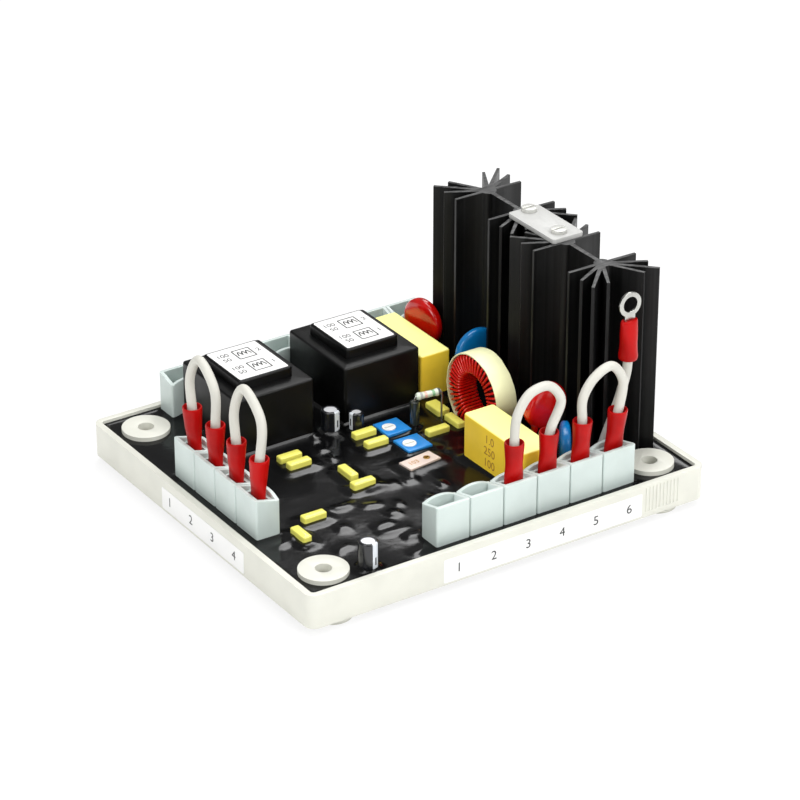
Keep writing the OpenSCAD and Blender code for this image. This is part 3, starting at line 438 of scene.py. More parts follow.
@dataclass(frozen=True)
class BoxFinish(Finish):
    """Moulded capacitor box, with a painted highlight that makes its level top paler than its sides."""

    # Colour of the painted highlight on the top
    top: Colour = (1.0, 1.0, 0.64)
    top_height: float = 29.1
    top_reach: float = 0.6

    def tone(self, shader: Shader) -> Socket:
        """Base colour: the sides' own, and a paler painted highlight on the top and its rounded edge."""
        # Painted highlight: the top and its rounded edge are mixed towards a paler colour, as if lit
        painted_highlight = shader.above(self.top_height, self.top_reach)
        return shader.mix(painted_highlight, super().tone(shader), linear(self.top))


@dataclass(frozen=True)
class RotorFinish(Finish):
    """White rotor with grime and painted shade in its screwdriver slot."""

    face_height: float = 14.2
    slot_depth: float = 0.7
    # Colour at the slot's floor: grime and painted shade together
    grime_and_shade: Colour = (0.36, 0.36, 0.35)

    def tone(self, shader: Shader) -> Socket:
        """Base colour: white on the face, darkening down to the slot's floor with grime and painted shade.

        Args:
            shader: the material's shader.

        Returns:
            The socket of the colour.
        """
        floor = self.face_height - self.slot_depth
        middle = self.face_height - self.slot_depth / 2
        # Painted shade and grime: the colour darkens from halfway down the slot to its floor
        slot_shade = shader.along(Axis.Z).step(middle * MM, floor * MM)
        return shader.mix(slot_shade, super().tone(shader), linear(self.grime_and_shade))


@dataclass(frozen=True)
class CanFinish(Finish):
    """Shrunk film sleeve of a can, with a pale stripe down one side."""

    stripe: Colour = (0.78, 0.80, 0.82)
    stripe_turns: Span = (0.60, 0.725)
    dash_turns: Span = (0.645, 0.68)
    dash_heights: Span = (15.0, 17.8)
    turn_edge: float = 0.005
    height_edge: float = 0.2

    def tone(self, shader: Shader) -> Socket:
        """Base colour: dark film with a stripe over an eighth of the way round, and a dark dash on it.

        Args:
            shader: the material's shader.

        Returns:
            The socket of the colour.
        """
        turn = shader.around()
        low, high = self.dash_heights
        band = turn.between(*self.stripe_turns, self.turn_edge)
        level = shader.along(Axis.Z).between(low * MM, high * MM, self.height_edge * MM)
        dash = turn.between(*self.dash_turns, self.turn_edge) * level
        return shader.mix(band - dash, linear(self.colour), linear(self.stripe))


@dataclass(frozen=True)
class BandedFinish(Finish):
    """Lacquered resistor on a line turned from X, with rings given by place along that line and colour."""

    turn: float = 0.0
    rings: tuple[tuple[float, Colour], ...] = ()
    ring_half: float = 0.45
    ring_edge: float = 0.05

    def tone(self, shader: Shader) -> Socket:
        """Base colour: the lacquer, with each ring laid over it.

        Args:
            shader: the material's shader.

        Returns:
            The socket of the colour.
        """
        a = math.radians(self.turn)
        place = shader.along(Axis.X) * math.cos(a) + shader.along(Axis.Y) * math.sin(a)
        tone: Any = linear(self.colour)
        for middle, colour in self.rings:
            reach = self.ring_half + self.ring_edge
            ring = place.between((middle - reach) * MM, (middle + reach) * MM, self.ring_edge * MM)
            tone = shader.mix(ring, tone, linear(colour))
        return tone


@dataclass(frozen=True)
class EnamelFinish(Finish):
    """Enamelled copper wire: red lacquer that shows brighter copper in patches."""

    copper: Colour = (0.86, 0.42, 0.20)
    patches: float = 420.0
    bareness: float = 0.35

    def tone(self, shader: Shader) -> Socket:
        """Base colour: red lacquer, with copper where it is thin."""
        thin = shader.noise(self.patches).step(0.52, 0.78) * self.bareness
        return shader.mix(thin, linear(self.colour), linear(self.copper))


TRAY = Finish("tray_moulding", (0.81, 0.81, 0.77), 0.42, clouding=0.015, grain=0.25, grain_scale=2600.0)
RESIN = ResinFinish("cast_resin", (0.03, 0.03, 0.033), 0.15, specular=0.34, grain=0.2, grain_depth=0.0004)
NYLON = Finish("milky_nylon", (0.76, 0.805, 0.79), 0.36, clouding=0.02, grain=0.1, milkiness=0.25)
TIN = Finish("bright_tin", (0.76, 0.76, 0.74), 0.28, 1.0, clouding=0.06, grain=0.2, stretch=(1.0, 1.0, 0.2))
RED = Finish("red_sleeve", (0.69, 0.008, 0.005), 0.40, specular=0.18, clouding=0.08)
WIRE = Finish("white_wire", (0.77, 0.765, 0.73), 0.50, clouding=0.015, grain=0.15)
SINK = AnodisedFinish("black_anodised", (0.045, 0.045, 0.045), 0.42, specular=0.25)
TIE = Finish("white_tie", (0.71, 0.71, 0.70), 0.45, clouding=0.015)
STEEL = Finish("zinc_screw", (0.84, 0.84, 0.82), 0.34, 0.45, clouding=0.05, grain=0.2)
MOULDED = Finish("moulded_black", (0.09, 0.09, 0.095), 0.55, grain=0.3)
CASE = Finish("transformer_case", (0.035, 0.035, 0.036), 0.36, specular=0.25, clouding=0.1, grain=0.25)
# The yellow boxes carry a painted highlight on their tops
YELLOW = BoxFinish("moulded_yellow", (1.0, 0.85, 0.26), 0.34, specular=0.18, clouding=0.025, grain=0.15)
PALE_YELLOW = Finish("film_yellow", (0.91, 0.89, 0.41), 0.32, coat=0.15, clouding=0.03, grain=0.2)
CAN_FILM = CanFinish("can_film", (0.07, 0.075, 0.09), 0.22, coat=0.3)
CAN_TOP = Finish("can_top", (0.87, 0.875, 0.885), 0.30, 0.25, clouding=0.05)
DISC_RED = Finish("red_lacquer", (0.76, 0.03, 0.015), 0.20, coat=0.3, clouding=0.09, cloud_scale=160.0,
                  grain=0.35, grain_scale=420.0, grain_depth=0.0002)
DISC_BLUE = Finish("blue_lacquer", (0.03, 0.45, 0.71), 0.24, coat=0.25, clouding=0.06, cloud_scale=160.0,
                   grain=0.35, grain_scale=420.0, grain_depth=0.0002)
FERRITE = Finish("coated_core", (0.30, 0.06, 0.045), 0.5, clouding=0.15)
ENAMEL = EnamelFinish("enamelled_copper", (0.88, 0.09, 0.05), 0.27, 0.10, coat=0.4)
TAPE = Finish("cream_tape", (1.0, 1.0, 0.80), 0.38, clouding=0.03, grain=0.25, stretch=(0.15, 1.0, 1.0))
BLUE = Finish("blue_moulding", (0.15, 0.53, 0.83), 0.32, clouding=0.04, grain=0.15)
WHITE = RotorFinish("white_rotor", (0.93, 0.93, 0.91), 0.4, clouding=0.02)
PALE = Finish("pale_trimmer", (0.86, 0.79, 0.75), 0.42, clouding=0.03)
BRASS = Finish("turned_brass", (0.78, 0.60, 0.30), 0.28, 1.0, clouding=0.08)
BOARD = Finish("green_laminate", (0.10, 0.30, 0.16), 0.4)
TAN = Finish("resistor_lacquer", (0.76, 0.62, 0.42), 0.4)
BANDED = BandedFinish("banded_resistor", (0.84, 0.88, 0.80), 0.3, coat=0.3, turn=RAISED_TURN, rings=(
    (13.9, (0.70, 0.71, 0.70)), (15.6, (0.90, 0.72, 0.66)),
    (18.4, (0.50, 0.70, 0.52)), (20.5, (0.30, 0.34, 0.34)),
))
SHRINK = Finish("shrunk_tube", (0.16, 0.18, 0.165), 0.22, coat=0.4)
PAPER = Finish("label_paper", (0.89, 0.89, 0.885), 0.5, clouding=0.01, grain=0.1)
INK = Finish("label_ink", (0.13, 0.13, 0.14), 0.5, clouding=0.05)
BROWN_INK = Finish("brown_ink", (0.72, 0.52, 0.20), 0.5, clouding=0.1)


# Surfaces

# Points on a quarter circle, the smallest corner radius, and the share of a block's width to its crown
ARC = 5
LEAST = 1e-3
CROWN = 0.2

# Turns of a surface: what looked up looks forward, and what stood along Z lies along X
UPRIGHT = np.array([[1, 0, 0], [0, 0, -1], [0, 1, 0]])
LYING = np.array([[0, 0, 1], [0, 1, 0], [-1, 0, 0]])

# Slope of a wire that starts or ends straight up, as (sideways, up)
RISING = np.array([0.0, 1.0])


@dataclass
class Surface:
    """A mesh in the making: points in millimetres, faces, and how far round each corner of a face lies."""

    points: np.ndarray
    faces: list[tuple[int, ...]]
    turns: list[tuple[float, float]]
    slots: list[int]

    def joined(self, other: "Surface") -> "Surface":
        """This surface and another one as one mesh.

        Args:
            other: the surface to add.

        Returns:
            A new surface with the faces of both.
        """
        start = len(self.points)
        moved = [tuple(i + start for i in f) for f in other.faces]
        return Surface(
            np.concatenate([self.points, other.points]),
            self.faces + moved,
            self.turns + other.turns,
            self.slots + other.slots,
        )

    def spun(self, matrix: np.ndarray) -> "Surface":
        """A copy turned by a matrix."""
        return Surface(self.points @ matrix.T, self.faces, self.turns, self.slots)

    def turned(self, degrees: float) -> "Surface":
        """A copy turned about Z through the origin."""
        c, s = math.cos(math.radians(degrees)), math.sin(math.radians(degrees))
        return self.spun(np.array([[c, -s, 0], [s, c, 0], [0, 0, 1]]))

    def painted(self, slot: int) -> "Surface":
        """A copy whose faces all take that material slot."""
        return Surface(self.points, self.faces, self.turns, [slot] * len(self.faces))

    def moved(self, x: float, y: float, z: float) -> "Surface":
        """A copy moved by that much."""
        return Surface(self.points + np.array([x, y, z]), self.faces, self.turns, self.slots)


def join(parts: Sequence[Surface]) -> Surface:
    """Several surfaces as one mesh.

    Args:
        parts: the surfaces, at least one.

    Returns:
        One surface with all their faces, in order.
    """
    whole = parts[0]
    for part in parts[1:]:
        whole = whole.joined(part)
    return whole


def loft(rings: np.ndarray, round_trip: bool = False, end_slot: int = 0) -> Surface:
    """Closed surface through rings of points, with quads between neighbours.

    Args:
        rings: points as (ring, point, xyz), each ring anticlockwise as seen from the far end.
        round_trip: joins the last ring to the first, and otherwise a flat face closes each end.
        end_slot: material slot of the face on the last ring.

    Returns:
        The surface, whose turns run from 0 to 1 round each ring and along the rings.
    """
    count, size = rings.shape[:2]
    spans = count if round_trip else count - 1
    i, j = (g.ravel() for g in np.meshgrid(np.arange(spans), np.arange(size), indexing="ij"))
    nxt, far = (j + 1) % size, (i + 1) % count
    quads = np.stack([i * size + j, i * size + nxt, far * size + nxt, far * size + j], 1)
    u0, u1, v0, v1 = j / size, (j + 1) / size, i / spans, (i + 1) / spans
    turns = np.stack([np.stack(p, 1) for p in ((u0, v0), (u1, v0), (u1, v1), (u0, v1))], 1)
    faces = [tuple(q) for q in quads.tolist()]
    corners = [tuple(t) for t in turns.reshape(-1, 2).tolist()]
    slots = [0] * len(faces)
    if not round_trip:
        faces += [tuple(range(size - 1, -1, -1)), tuple(range((count - 1) * size, count * size))]
        corners += [(0.0, 0.0)] * size + [(0.0, 1.0)] * size
        slots += [0, end_slot]
    return Surface(rings.reshape(-1, 3), faces, corners, slots)


def smooth_path(
    points: np.ndarray, steps: int, ends: Optional[tuple[np.ndarray, np.ndarray]] = None
) -> np.ndarray:
    """Smooth curve through points: each stretch is the cubic whose end slopes come from its neighbours.

    Args:
        points: the points to pass through, as (point, coordinate).
        steps: samples on each stretch.
        ends: slopes at the first and last point, or the chord's own.

    Returns:
        Samples along the curve, the last point included.
    """
    chord = np.diff(points, axis=0)
    length = np.linalg.norm(chord, axis=1, keepdims=True)
    unit = chord / length
    inner = (unit[:-1] * length[1:] + unit[1:] * length[:-1]) / (length[:-1] + length[1:])
    first, last = ends if ends is not None else (unit[0], unit[-1])
    slope = np.concatenate([[first], inner, [last]])
    t = (np.arange(steps) / steps)[None, :, None]
    p, q = points[:-1, None], points[1:, None]
    m, n = (slope[:-1] * length)[:, None], (slope[1:] * length)[:, None]
    away = 3 * t**2 - 2 * t**3
    curve = (1 - away) * p + away * q + (t**3 - 2 * t**2 + t) * m + (t**3 - t**2) * n
    return np.concatenate([curve.reshape(-1, points.shape[1]), points[-1:]])


def circle(sides: int) -> np.ndarray:
    """Unit circle, anticlockwise, as (side, xy)."""
    a = np.linspace(0, 2 * math.pi, sides, endpoint=False)
    return np.stack([np.cos(a), np.sin(a)], 1)


def round_rectangle(w: float, d: float, r: float) -> np.ndarray:
    """Rectangle with round corners, centred and anticlockwise: a quarter circle about each corner's centre.

    Args:
        w: size along X.
        d: size along Y.
        r: corner radius.

    Returns:
        The outline as (point, xy).
    """
    r = max(min(r, w / 2 - LEAST, d / 2 - LEAST), LEAST)
    a = np.linspace(0, math.pi / 2, ARC)[None] + np.arange(4)[:, None] * math.pi / 2
    centre = np.array([[1, 1], [-1, 1], [-1, -1], [1, -1]]) * np.array([w / 2 - r, d / 2 - r])
    return (centre[:, None] + r * np.stack([np.cos(a), np.sin(a)], 2)).reshape(-1, 2)


def block(
    w: float, d: float, z0: float, z1: float, corner: float, edge: float, swell: float = 0.0
) -> Surface:
    """Upright block with round corners and a rounded upper edge, its outline inset along a quarter circle.

    Args:
        w: size along X.
        d: size along Y.
        z0: height of its foot.
        z1: height of its top.
        corner: radius of the upright corners.
        edge: radius of the upper edge.
        swell: rise of the middle of the top.

    Returns:
        The closed surface, centred on Z.
    """
    a = np.linspace(0, math.pi / 2, ARC)
    inset = np.concatenate([[0.0], edge * (1 - np.cos(a)), [edge + CROWN * min(w, d)]])
    height = np.concatenate([[z0], z1 - edge + edge * np.sin(a), [z1 + swell]])
    rings = []
    for i, z in zip(inset, height):
        outline = round_rectangle(w - 2 * i, d - 2 * i, corner - i)
        rings.append(np.column_stack([outline, np.full(len(outline), z)]))
    return loft(np.array(rings))


def lathe(profile: np.ndarray, sides: int, end_slot: int = 0) -> Surface:
    """Profile of (radius, height) turned about Z, from its foot to its top.

    Args:
        profile: the outline's points as (radius, height).
        sides: points round the axis.
        end_slot: material slot of the face on top.

    Returns:
        The closed surface.
    """
    ring = circle(sides)
    rings = np.concatenate(
        [profile[:, :1, None] * ring[None], np.repeat(profile[:, 1:, None], sides, 1)], axis=2
    )
    return loft(rings, end_slot=end_slot)


def ovals(sections: np.ndarray, lean: float = 0.0, sides: int = 28) -> Surface:
    """Closed surface through level ovals.

    Args:
        sections: height, half width and half depth of each oval.
        lean: step along X for each millimetre of height.
        sides: points on an oval.

    Returns:
        The surface, round the origin.
    """
    level = np.repeat(sections[:, None, :1], sides, 1)
    rings = circle(sides)[None] * sections[:, None, 1:] + lean * level * np.array([1.0, 0.0])
    return loft(np.concatenate([rings, level], axis=2))


def swollen(values: np.ndarray, power: float) -> np.ndarray:
    """Sizes of the values raised to a power, each with its own sign, which makes a circle squarer."""
    return np.sign(values) * np.abs(values) ** power


def carried(
    path: np.ndarray, along: np.ndarray, radius: Union[float, np.ndarray], across: np.ndarray, sides: int
) -> np.ndarray:
    """Rings about a path: each is spanned by one direction across it and that direction's normal.

    Args:
        path: centre line as (point, xyz).
        along: direction of the line at each point, of any length.
        radius: one radius, or one for each point.
        across: direction that stays across the line, one for all points or one for each.
        sides: points on a ring.

    Returns:
        The rings as (ring, point, xyz).
    """
    along = along / np.linalg.norm(along, axis=1, keepdims=True)
    side = np.broadcast_to(across, path.shape) - along * np.sum(along * across, 1, keepdims=True)
    side = side / np.linalg.norm(side, axis=1, keepdims=True)
    other = np.cross(along, side)
    ring = circle(sides)[None]
    size = np.broadcast_to(np.asarray(radius, float).reshape(-1, 1, 1), (len(path), 1, 1))
    return path[:, None] + size * (ring[..., :1] * side[:, None] + ring[..., 1:] * other[:, None])


def tube(path: np.ndarray, radius: Union[float, np.ndarray], across: Axis, sides: int = 14) -> Surface:
    """Closed round tube along a path that nowhere runs along the axis given as across."""
    return loft(carried(path, np.gradient(path, axis=0), radius, np.eye(3)[across.value], sides))


def ribbon(path: np.ndarray, width: float, thickness: float) -> Surface:
    """Flat stroke on a level surface: a rectangle carried along a path of (x, y), from height 0.

    Args:
        path: middle line of the stroke as (point, xy).
        width: width of the stroke.
        thickness: height of the stroke.

    Returns:
        The closed surface.
    """
    along = np.gradient(path, axis=0)
    along /= np.linalg.norm(along, axis=1, keepdims=True)
    side = np.stack([-along[:, 1], along[:, 0]], 1) * width / 2
    low, high = np.zeros(len(path)), np.full(len(path), thickness)
    corners = [(-side, low), (side, low), (side, high), (-side, high)]
    rings = np.stack([np.column_stack([path + s, z]) for s, z in corners], 1)
    return loft(rings)


# Pieces

# Space with nothing in it, since its lowest corner lies above its highest one
NOWHERE: tuple[Point, Point] = ((1.0, 1.0, 1.0), (0.0, 0.0, 0.0))


class Maker:
    """Turns surfaces and CAD nodes into dressed pieces that ride on a body.

    Attributes:
        merging: distance in metres within which corners become one.
        flat_angle: angle under which neighbouring faces become one.
        edge_angle: angle past which an edge is rounded.
        shading_angle: angle past which an edge of a rounded piece is shaded sharp.
        edge_steps: faces across a rounded edge.
        edge_profile: fullness of that edge, 0.5 for a circle.
    """

    merging = 2e-6
    flat_angle = math.radians(0.2)
    edge_angle = math.radians(28.0)
    shading_angle = math.radians(32.0)
    edge_steps = 2
    edge_profile = 0.6

    def __init__(self, frame: dict[str, Any]) -> None:
        """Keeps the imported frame."""
        self.frame = frame

    def piece(
        self,
        name: str,
        surface: Surface,
        finishes: Union[Finish, Sequence[Finish]],
        slot: str,
        stands_for: Sequence[str] = (),
        body: str = BODY,
        sharp: float = 38.0,
    ) -> bpy.types.Object:
        """Makes one piece from a surface.

        Args:
            name: the piece's name.
            surface: its surface, in millimetres.
            finishes: its finish, or one for each material slot of the surface.
            slot: the record's material slot.
            stands_for: CAD nodes that it replaces.
            body: the body that it rides on.
            sharp: angle in degrees past which an edge stays sharp.

        Returns:
            The piece.
        """
        mesh = bpy.data.meshes.new(name)
        mesh.from_pydata((surface.points * MM).tolist(), [], surface.faces)
        layer = mesh.uv_layers.new(name="turn")
        layer.data.foreach_set("uv", np.array(surface.turns, np.float32).ravel())
        mesh.polygons.foreach_set("material_index", np.array(surface.slots, np.int32))
        mesh.polygons.foreach_set("use_smooth", np.ones(len(mesh.polygons), bool))
        mesh.update()
        mesh.set_sharp_from_angle(angle=math.radians(sharp))
        made = bpy.data.objects.new(name, mesh)
        bpy.context.scene.collection.objects.link(made)
        return self.dress(made, finishes, slot, stands_for, body)

    def dress(
        self,
        made: bpy.types.Object,
        finishes: Union[Finish, Sequence[Finish]],
        slot: str,
        stands_for: Sequence[str],
        body: str,
    ) -> bpy.types.Object:
        """Gives a new object its materials and its body, and hides the nodes that it replaces.

        Args:
            made: the new object.
            finishes: its finish, or one for each material slot.
            slot: the record's material slot; not used.
            stands_for: CAD nodes that it replaces.
            body: the body that it rides on.

        Returns:
            The same object.
        """
        for finish in [finishes] if isinstance(finishes, Finish) else finishes:
            made.data.materials.append(finish.material())
        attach(made, body)
        if stands_for:
            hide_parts(*stands_for)
        LOG.info("piece %s: %d faces", made.name, len(made.data.polygons))
        return made

    def softened(
        self,
        node: str,
        finish: Finish,
        slot: str,
        radius: float,
        body: str = BODY,
        level: float = 0.0,
        sharp_box: tuple[Point, Point] = NOWHERE,
    ) -> bpy.types.Object:
        """Copy of a CAD node with merged corners and rounded edges, which stands for the node.

        Args:
            node: the CAD node.
            finish: its finish.
            slot: the record's material slot.
            radius: radius of the rounded edges, in millimetres.
            body: the body that it rides on.
            level: height in millimetres below which edges stay sharp, because they are sunk in resin.
            sharp_box: lowest and highest corner of a space in which edges stay sharp, in millimetres.

        Returns:
            The piece.
        """
        low, high = (np.array(corner) * MM for corner in sharp_box)
        name = f"{node}_look"
        mesh = self.frame["nodes"][node].data.copy()
        mesh.name = name
        mesh.materials.clear()
        shape = bmesh.new()
        shape.from_mesh(mesh)
        bmesh.ops.remove_doubles(shape, verts=shape.verts, dist=self.merging)
        bmesh.ops.dissolve_limit(shape, angle_limit=self.flat_angle, verts=shape.verts, edges=shape.edges)
        turning = [
            e
            for e in shape.edges
            if len(e.link_faces) == 2
            and e.calc_face_angle(0.0) > self.edge_angle
            and min(v.co.z for v in e.verts) >= level * MM
            and not all(np.all(low <= v.co) and np.all(v.co <= high) for v in e.verts)
        ]
        bmesh.ops.bevel(
            shape,
            geom=turning,
            offset=radius * MM,
            segments=self.edge_steps,
            profile=self.edge_profile,
            affect="EDGES",
            clamp_overlap=True,
        )
        shape.to_mesh(mesh)
        shape.free()
        mesh.polygons.foreach_set("use_smooth", np.ones(len(mesh.polygons), bool))
        mesh.polygons.foreach_set("material_index", np.zeros(len(mesh.polygons), np.int32))
        mesh.set_sharp_from_angle(angle=self.shading_angle)
        made = bpy.data.objects.new(name, mesh)
        bpy.context.scene.collection.objects.link(made)
        return self.dress(made, finish, slot, [node], body)

    def paint(self, node: str, finish: Finish) -> None:
        """Gives a CAD node that keeps its own mesh a finish.

        Args:
            node: the CAD node.
            finish: its finish.
        """
        shown = self.frame["nodes"][node]
        shown.data.materials.clear()
        shown.data.materials.append(finish.material())
        LOG.info("node %s painted", node)


@dataclass(frozen=True)
class Box:
    """Upright space that a CAD node fills, in millimetres."""

    low: np.ndarray
    high: np.ndarray

    @classmethod
    def of(cls, node: str) -> "Box":
        """Space of that node."""
        low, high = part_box(node)
        return cls(np.array(low) / MM, np.array(high) / MM)

    @property
    def middle(self) -> np.ndarray:
        """Its middle point."""
        return (self.low + self.high) / 2

    @property
    def size(self) -> np.ndarray:
        """Its sizes along X, Y and Z."""
        return self.high - self.low


# Sub-assemblies


@dataclass(frozen=True)
class Lamp:
    """One square soft lamp that looks at the part, with lengths in metres and power in watts."""

    name: str
    place: Point
    size: float
    power: float
    aim: Point = (0.0, 0.0, 0.03)

    def build(self) -> None:
        """Hangs the lamp."""
        data = bpy.data.lights.new(self.name, "AREA")
        data.size = self.size
        data.energy = self.power
        made = bpy.data.objects.new(self.name, data)
        made.location = Vector(self.place)
        made.rotation_euler = (Vector(self.aim) - Vector(self.place)).to_track_quat("-Z", "Y").to_euler()
        bpy.context.scene.collection.objects.link(made)


@dataclass
class Studio:
    """Camera at the photograph's place, pale floor, white surroundings and soft lamps."""

    eye: Point = (-535.04, -814.757, 543.79)
    target: Point = (1.229, -0.872, 29.902)
    half_frame: float = 400.0
    focal_pixels: float = 3414.67
    sensor: float = 36.0
    floor_size: float = 12.0
    floor_tone: float = 0.90
    floor_glow: float = 0.80
    sky: float = 0.55
    mirrored_sky: float = 0.20
    lamps: Sequence[Lamp] = (
        Lamp("overhead", (0.05, 0.10, 0.95), 0.55, 4.6),
        Lamp("right", (0.46, -0.20, 0.84), 0.42, 2.3),
        Lamp("left", (-0.85, -0.35, 0.60), 0.5, 4.2),
        Lamp("front", (0.25, -0.95, 0.60), 0.5, 5.4),
        Lamp("behind", (0.60, 0.66, 0.875), 0.40, 2.8),
    )

    def camera(self) -> None:
        """Sets the camera: its lens has the photograph's focal length in pixels."""
        data = bpy.data.cameras.new("camera")
        data.sensor_width = self.sensor
        data.lens = self.sensor / 2 * self.focal_pixels / self.half_frame
        data.clip_end = 100.0
        made = bpy.data.objects.new("camera", data)
        made.location = Vector(self.eye) * MM
        made.rotation_euler = (Vector(self.target) - Vector(self.eye)).to_track_quat("-Z", "Y").to_euler()
        bpy.context.scene.collection.objects.link(made)
        bpy.context.scene.camera = made

    def floor(self) -> None:
        """Lays the pale floor, which glows to the camera so that only a faint shadow shows on it."""
        half = self.floor_size / 2
        corners = [(-half, -half, 0), (half, -half, 0), (half, half, 0), (-half, half, 0)]
        mesh = bpy.data.meshes.new("floor")
        mesh.from_pydata(corners, [], [(0, 1, 2, 3)])
        made = bpy.data.objects.new("floor", mesh)
        shader = Shader("pale_floor")
        shader.dress(Base_Color=(self.floor_tone,) * 3 + (1.0,), Roughness=0.9, Specular_IOR_Level=0.0)
        glow = shader.node("ShaderNodeEmission", {}, {"Color": (1.0, 1.0, 1.0, 1.0), "Strength": 1.0})
        share = shader.ray("Is Camera Ray") * self.floor_glow
        both = shader.node(
            "ShaderNodeMixShader", {}, {0: share, 1: shader.surface.outputs[0], 2: glow.outputs[0]}
        )
        shader.feed(shader.tree.nodes["Material Output"].inputs["Surface"], both.outputs[0])
        mesh.materials.append(shader.material)
        bpy.context.scene.collection.objects.link(made)

    def world(self) -> None:
        """White to the camera and through glass, a gentle sky for the rest, dimmer in reflections."""
        world = bpy.data.worlds.new("surroundings")
        bpy.context.scene.world = world
        world.use_nodes = True
        graph = Graph(world.node_tree)
        white = (graph.ray("Is Camera Ray") + graph.ray("Is Transmission Ray")) * (1.0 - self.sky)
        dim = graph.ray("Is Glossy Ray") * (self.mirrored_sky - self.sky)
        shade = graph.tree.nodes["Background"]
        graph.feed(shade.inputs["Color"], (1.0, 1.0, 1.0, 1.0))
        graph.feed(shade.inputs["Strength"], white + dim + self.sky)

    def build(self) -> None:
        """Sets camera, floor, surroundings and lamps."""
        self.camera()
        self.floor()
        self.world()
        for lamp in self.lamps:
            lamp.build()
        bpy.context.scene.view_settings.view_transform = "Standard"


@dataclass
class Filling:
    """Cast black resin round every component: nearly level, with lumps, drawn up at walls and parts."""

    level: float = RESIN_TOP
    depth: float = 7.5
    spacing: float = 0.66
    rim: float = 0.5
    reach: float = 0.9
    climb: float = 1.35
    climb_reach: float = 1.4
    mound: float = 0.6
    mound_reach: float = 4.2
    highest: float = 1.4
    fine: float = 0.2
    fine_lines: int = 14
    edge_gap: float = 0.02
    boss: Span = (62.0, 54.5)
    boss_r: float = 8.0
    boss_lap: float = 1.0
    seed: int = 7
    waves: Sequence[Span] = ((34.0, 0.05), (17.0, 0.025))
    waves_each: int = 6
    wave_share: Span = (0.3, 1.0)
    lump_turn: float = 20.0
    lump_bend: float = 0.05
    lump_rise: Span = (0.3, 0.55)
    lump_width: Span = (1.7, 2.5)
    low_parts: Sequence[Footprint] = ()
    round_parts: Sequence[Point] = ()
    lumps: Sequence[Point] = (
        (-36, -24, 4.4), (-42.5, -35, 2.6), (-20, -19, 3.7), (-14.5, -20, 2.6), (-27, -28, 3.7),
        (-24.5, -36, 2.4), (-31, -40.5, 3.7), (-30, -45.5, 5.5), (-62, -33, 5.0), (-57.5, -38.5, 2.6),
        (-49, -45.5, 3.7), (-20.5, 11, 2.6), (-21.5, 4.5, 1.9), (-8, -21, 2.8), (-1, -28.5, 1.5),
        (15, -12.5, 3.0), (-10, 16, 1.9), (-30.5, -60, 4.0), (-26.5, -51, 3.7), (-19.5, -31.5, 1.9),
        (-10, -34, 2.6), (-18, 18.5, 2.6), (-50, 12, 3.0), (-54, -8, 2.4),
    )

    @staticmethod
    def walls(*nodes: str) -> list[Footprint]:
        """Footprints of square parts, as (x, y, half width, half depth, turn)."""
        boxes = [Box.of(node) for node in nodes]
        return [(*box.middle[:2], *box.size[:2] / 2, 0.0) for box in boxes]

    @staticmethod
    def across(
        x: np.ndarray, y: np.ndarray, cx: float, cy: float, turn: float
    ) -> tuple[np.ndarray, np.ndarray]:
        """Grid points as seen from a place on the surface, along and across a line turned from X there.

        Args:
            x: grid of X.
            y: grid of Y.
            cx: the place's X.
            cy: the place's Y.
            turn: turn of the line from X, in degrees.

        Returns:
            The distances along the line, and those across it.
        """
        a = math.radians(turn)
        along = (x - cx) * math.cos(a) + (y - cy) * math.sin(a)
        return along, (y - cy) * math.cos(a) - (x - cx) * math.sin(a)

    def distance(self, x: np.ndarray, y: np.ndarray, footprints: Sequence[Footprint]) -> np.ndarray:
        """Distance of each grid point from the nearest of some turned rectangles, 0 inside one.

        Args:
            x: grid of X.
            y: grid of Y.
            footprints: the rectangles, as walls gives them.

        Returns:
            The grid of distances.
        """
        gaps = [np.full_like(x, np.inf)]
        for cx, cy, w, d, turn in footprints:
            u, v = self.across(x, y, cx, cy, turn)
            gaps.append(np.hypot(np.maximum(np.abs(u) - w, 0), np.maximum(np.abs(v) - d, 0)))
        return np.min(gaps, axis=0)

    def heights(self, x: np.ndarray, y: np.ndarray, half: np.ndarray) -> np.ndarray:
        """Height of the surface over a grid.

        It is the casting level, plus a few slow plane waves, plus a long soft bell for each lump, plus a
        rise towards walls and tall parts that dies away as a power of e, plus a smooth ramp up to each low
        part.

        Args:
            x: grid of X.
            y: grid of Y.
            half: half sizes of the tray's cavity.

        Returns:
            The grid of heights.
        """
        rng = np.random.default_rng(self.seed)
        z = np.full_like(x, self.level)
        for size, swing in self.waves:
            for _ in range(self.waves_each):
                a, phase = rng.uniform(0, 2 * math.pi, 2)
                run = (x * math.cos(a) + y * math.sin(a)) / size
                z += swing * rng.uniform(*self.wave_share) * np.sin(2 * math.pi * run + phase)
        for cx, cy, length in self.lumps:
            u, v = self.across(x, y, cx, cy, rng.uniform(-self.lump_turn, self.lump_turn))
            bend = self.lump_bend * rng.uniform(-1, 1) * u**2
            rise = rng.uniform(*self.lump_rise)
            width = rng.uniform(*self.lump_width)
            z += rise * np.exp(-((u / length) ** 4) - ((v + bend) / width) ** 2)
        gap = np.minimum(half[0] - np.abs(x), half[1] - np.abs(y))
        housings = self.walls("front_tab_housings", "left_tab_housings", "rear_tab_housings")
        gap = np.minimum(gap, self.distance(x, y, housings))
        z += self.rim * np.exp(-np.maximum(gap, 0) / self.reach)
        cases = self.walls("left_transformer", "right_transformer")
        boxes = self.walls("rear_box_capacitor", "front_box_capacitor")
        gap = self.distance(x, y, cases + boxes)
        for cx, cy, d in self.round_parts:
            gap = np.minimum(gap, np.maximum(np.hypot(x - cx, y - cy) - d / 2, 0))
        z += self.climb * np.exp(-gap / self.climb_reach)
        near = np.clip(1 - self.distance(x, y, self.low_parts) / self.mound_reach, 0, 1)
        z += self.mound * near**2 * (3 - 2 * near)
        return np.minimum(z, self.level + self.highest)

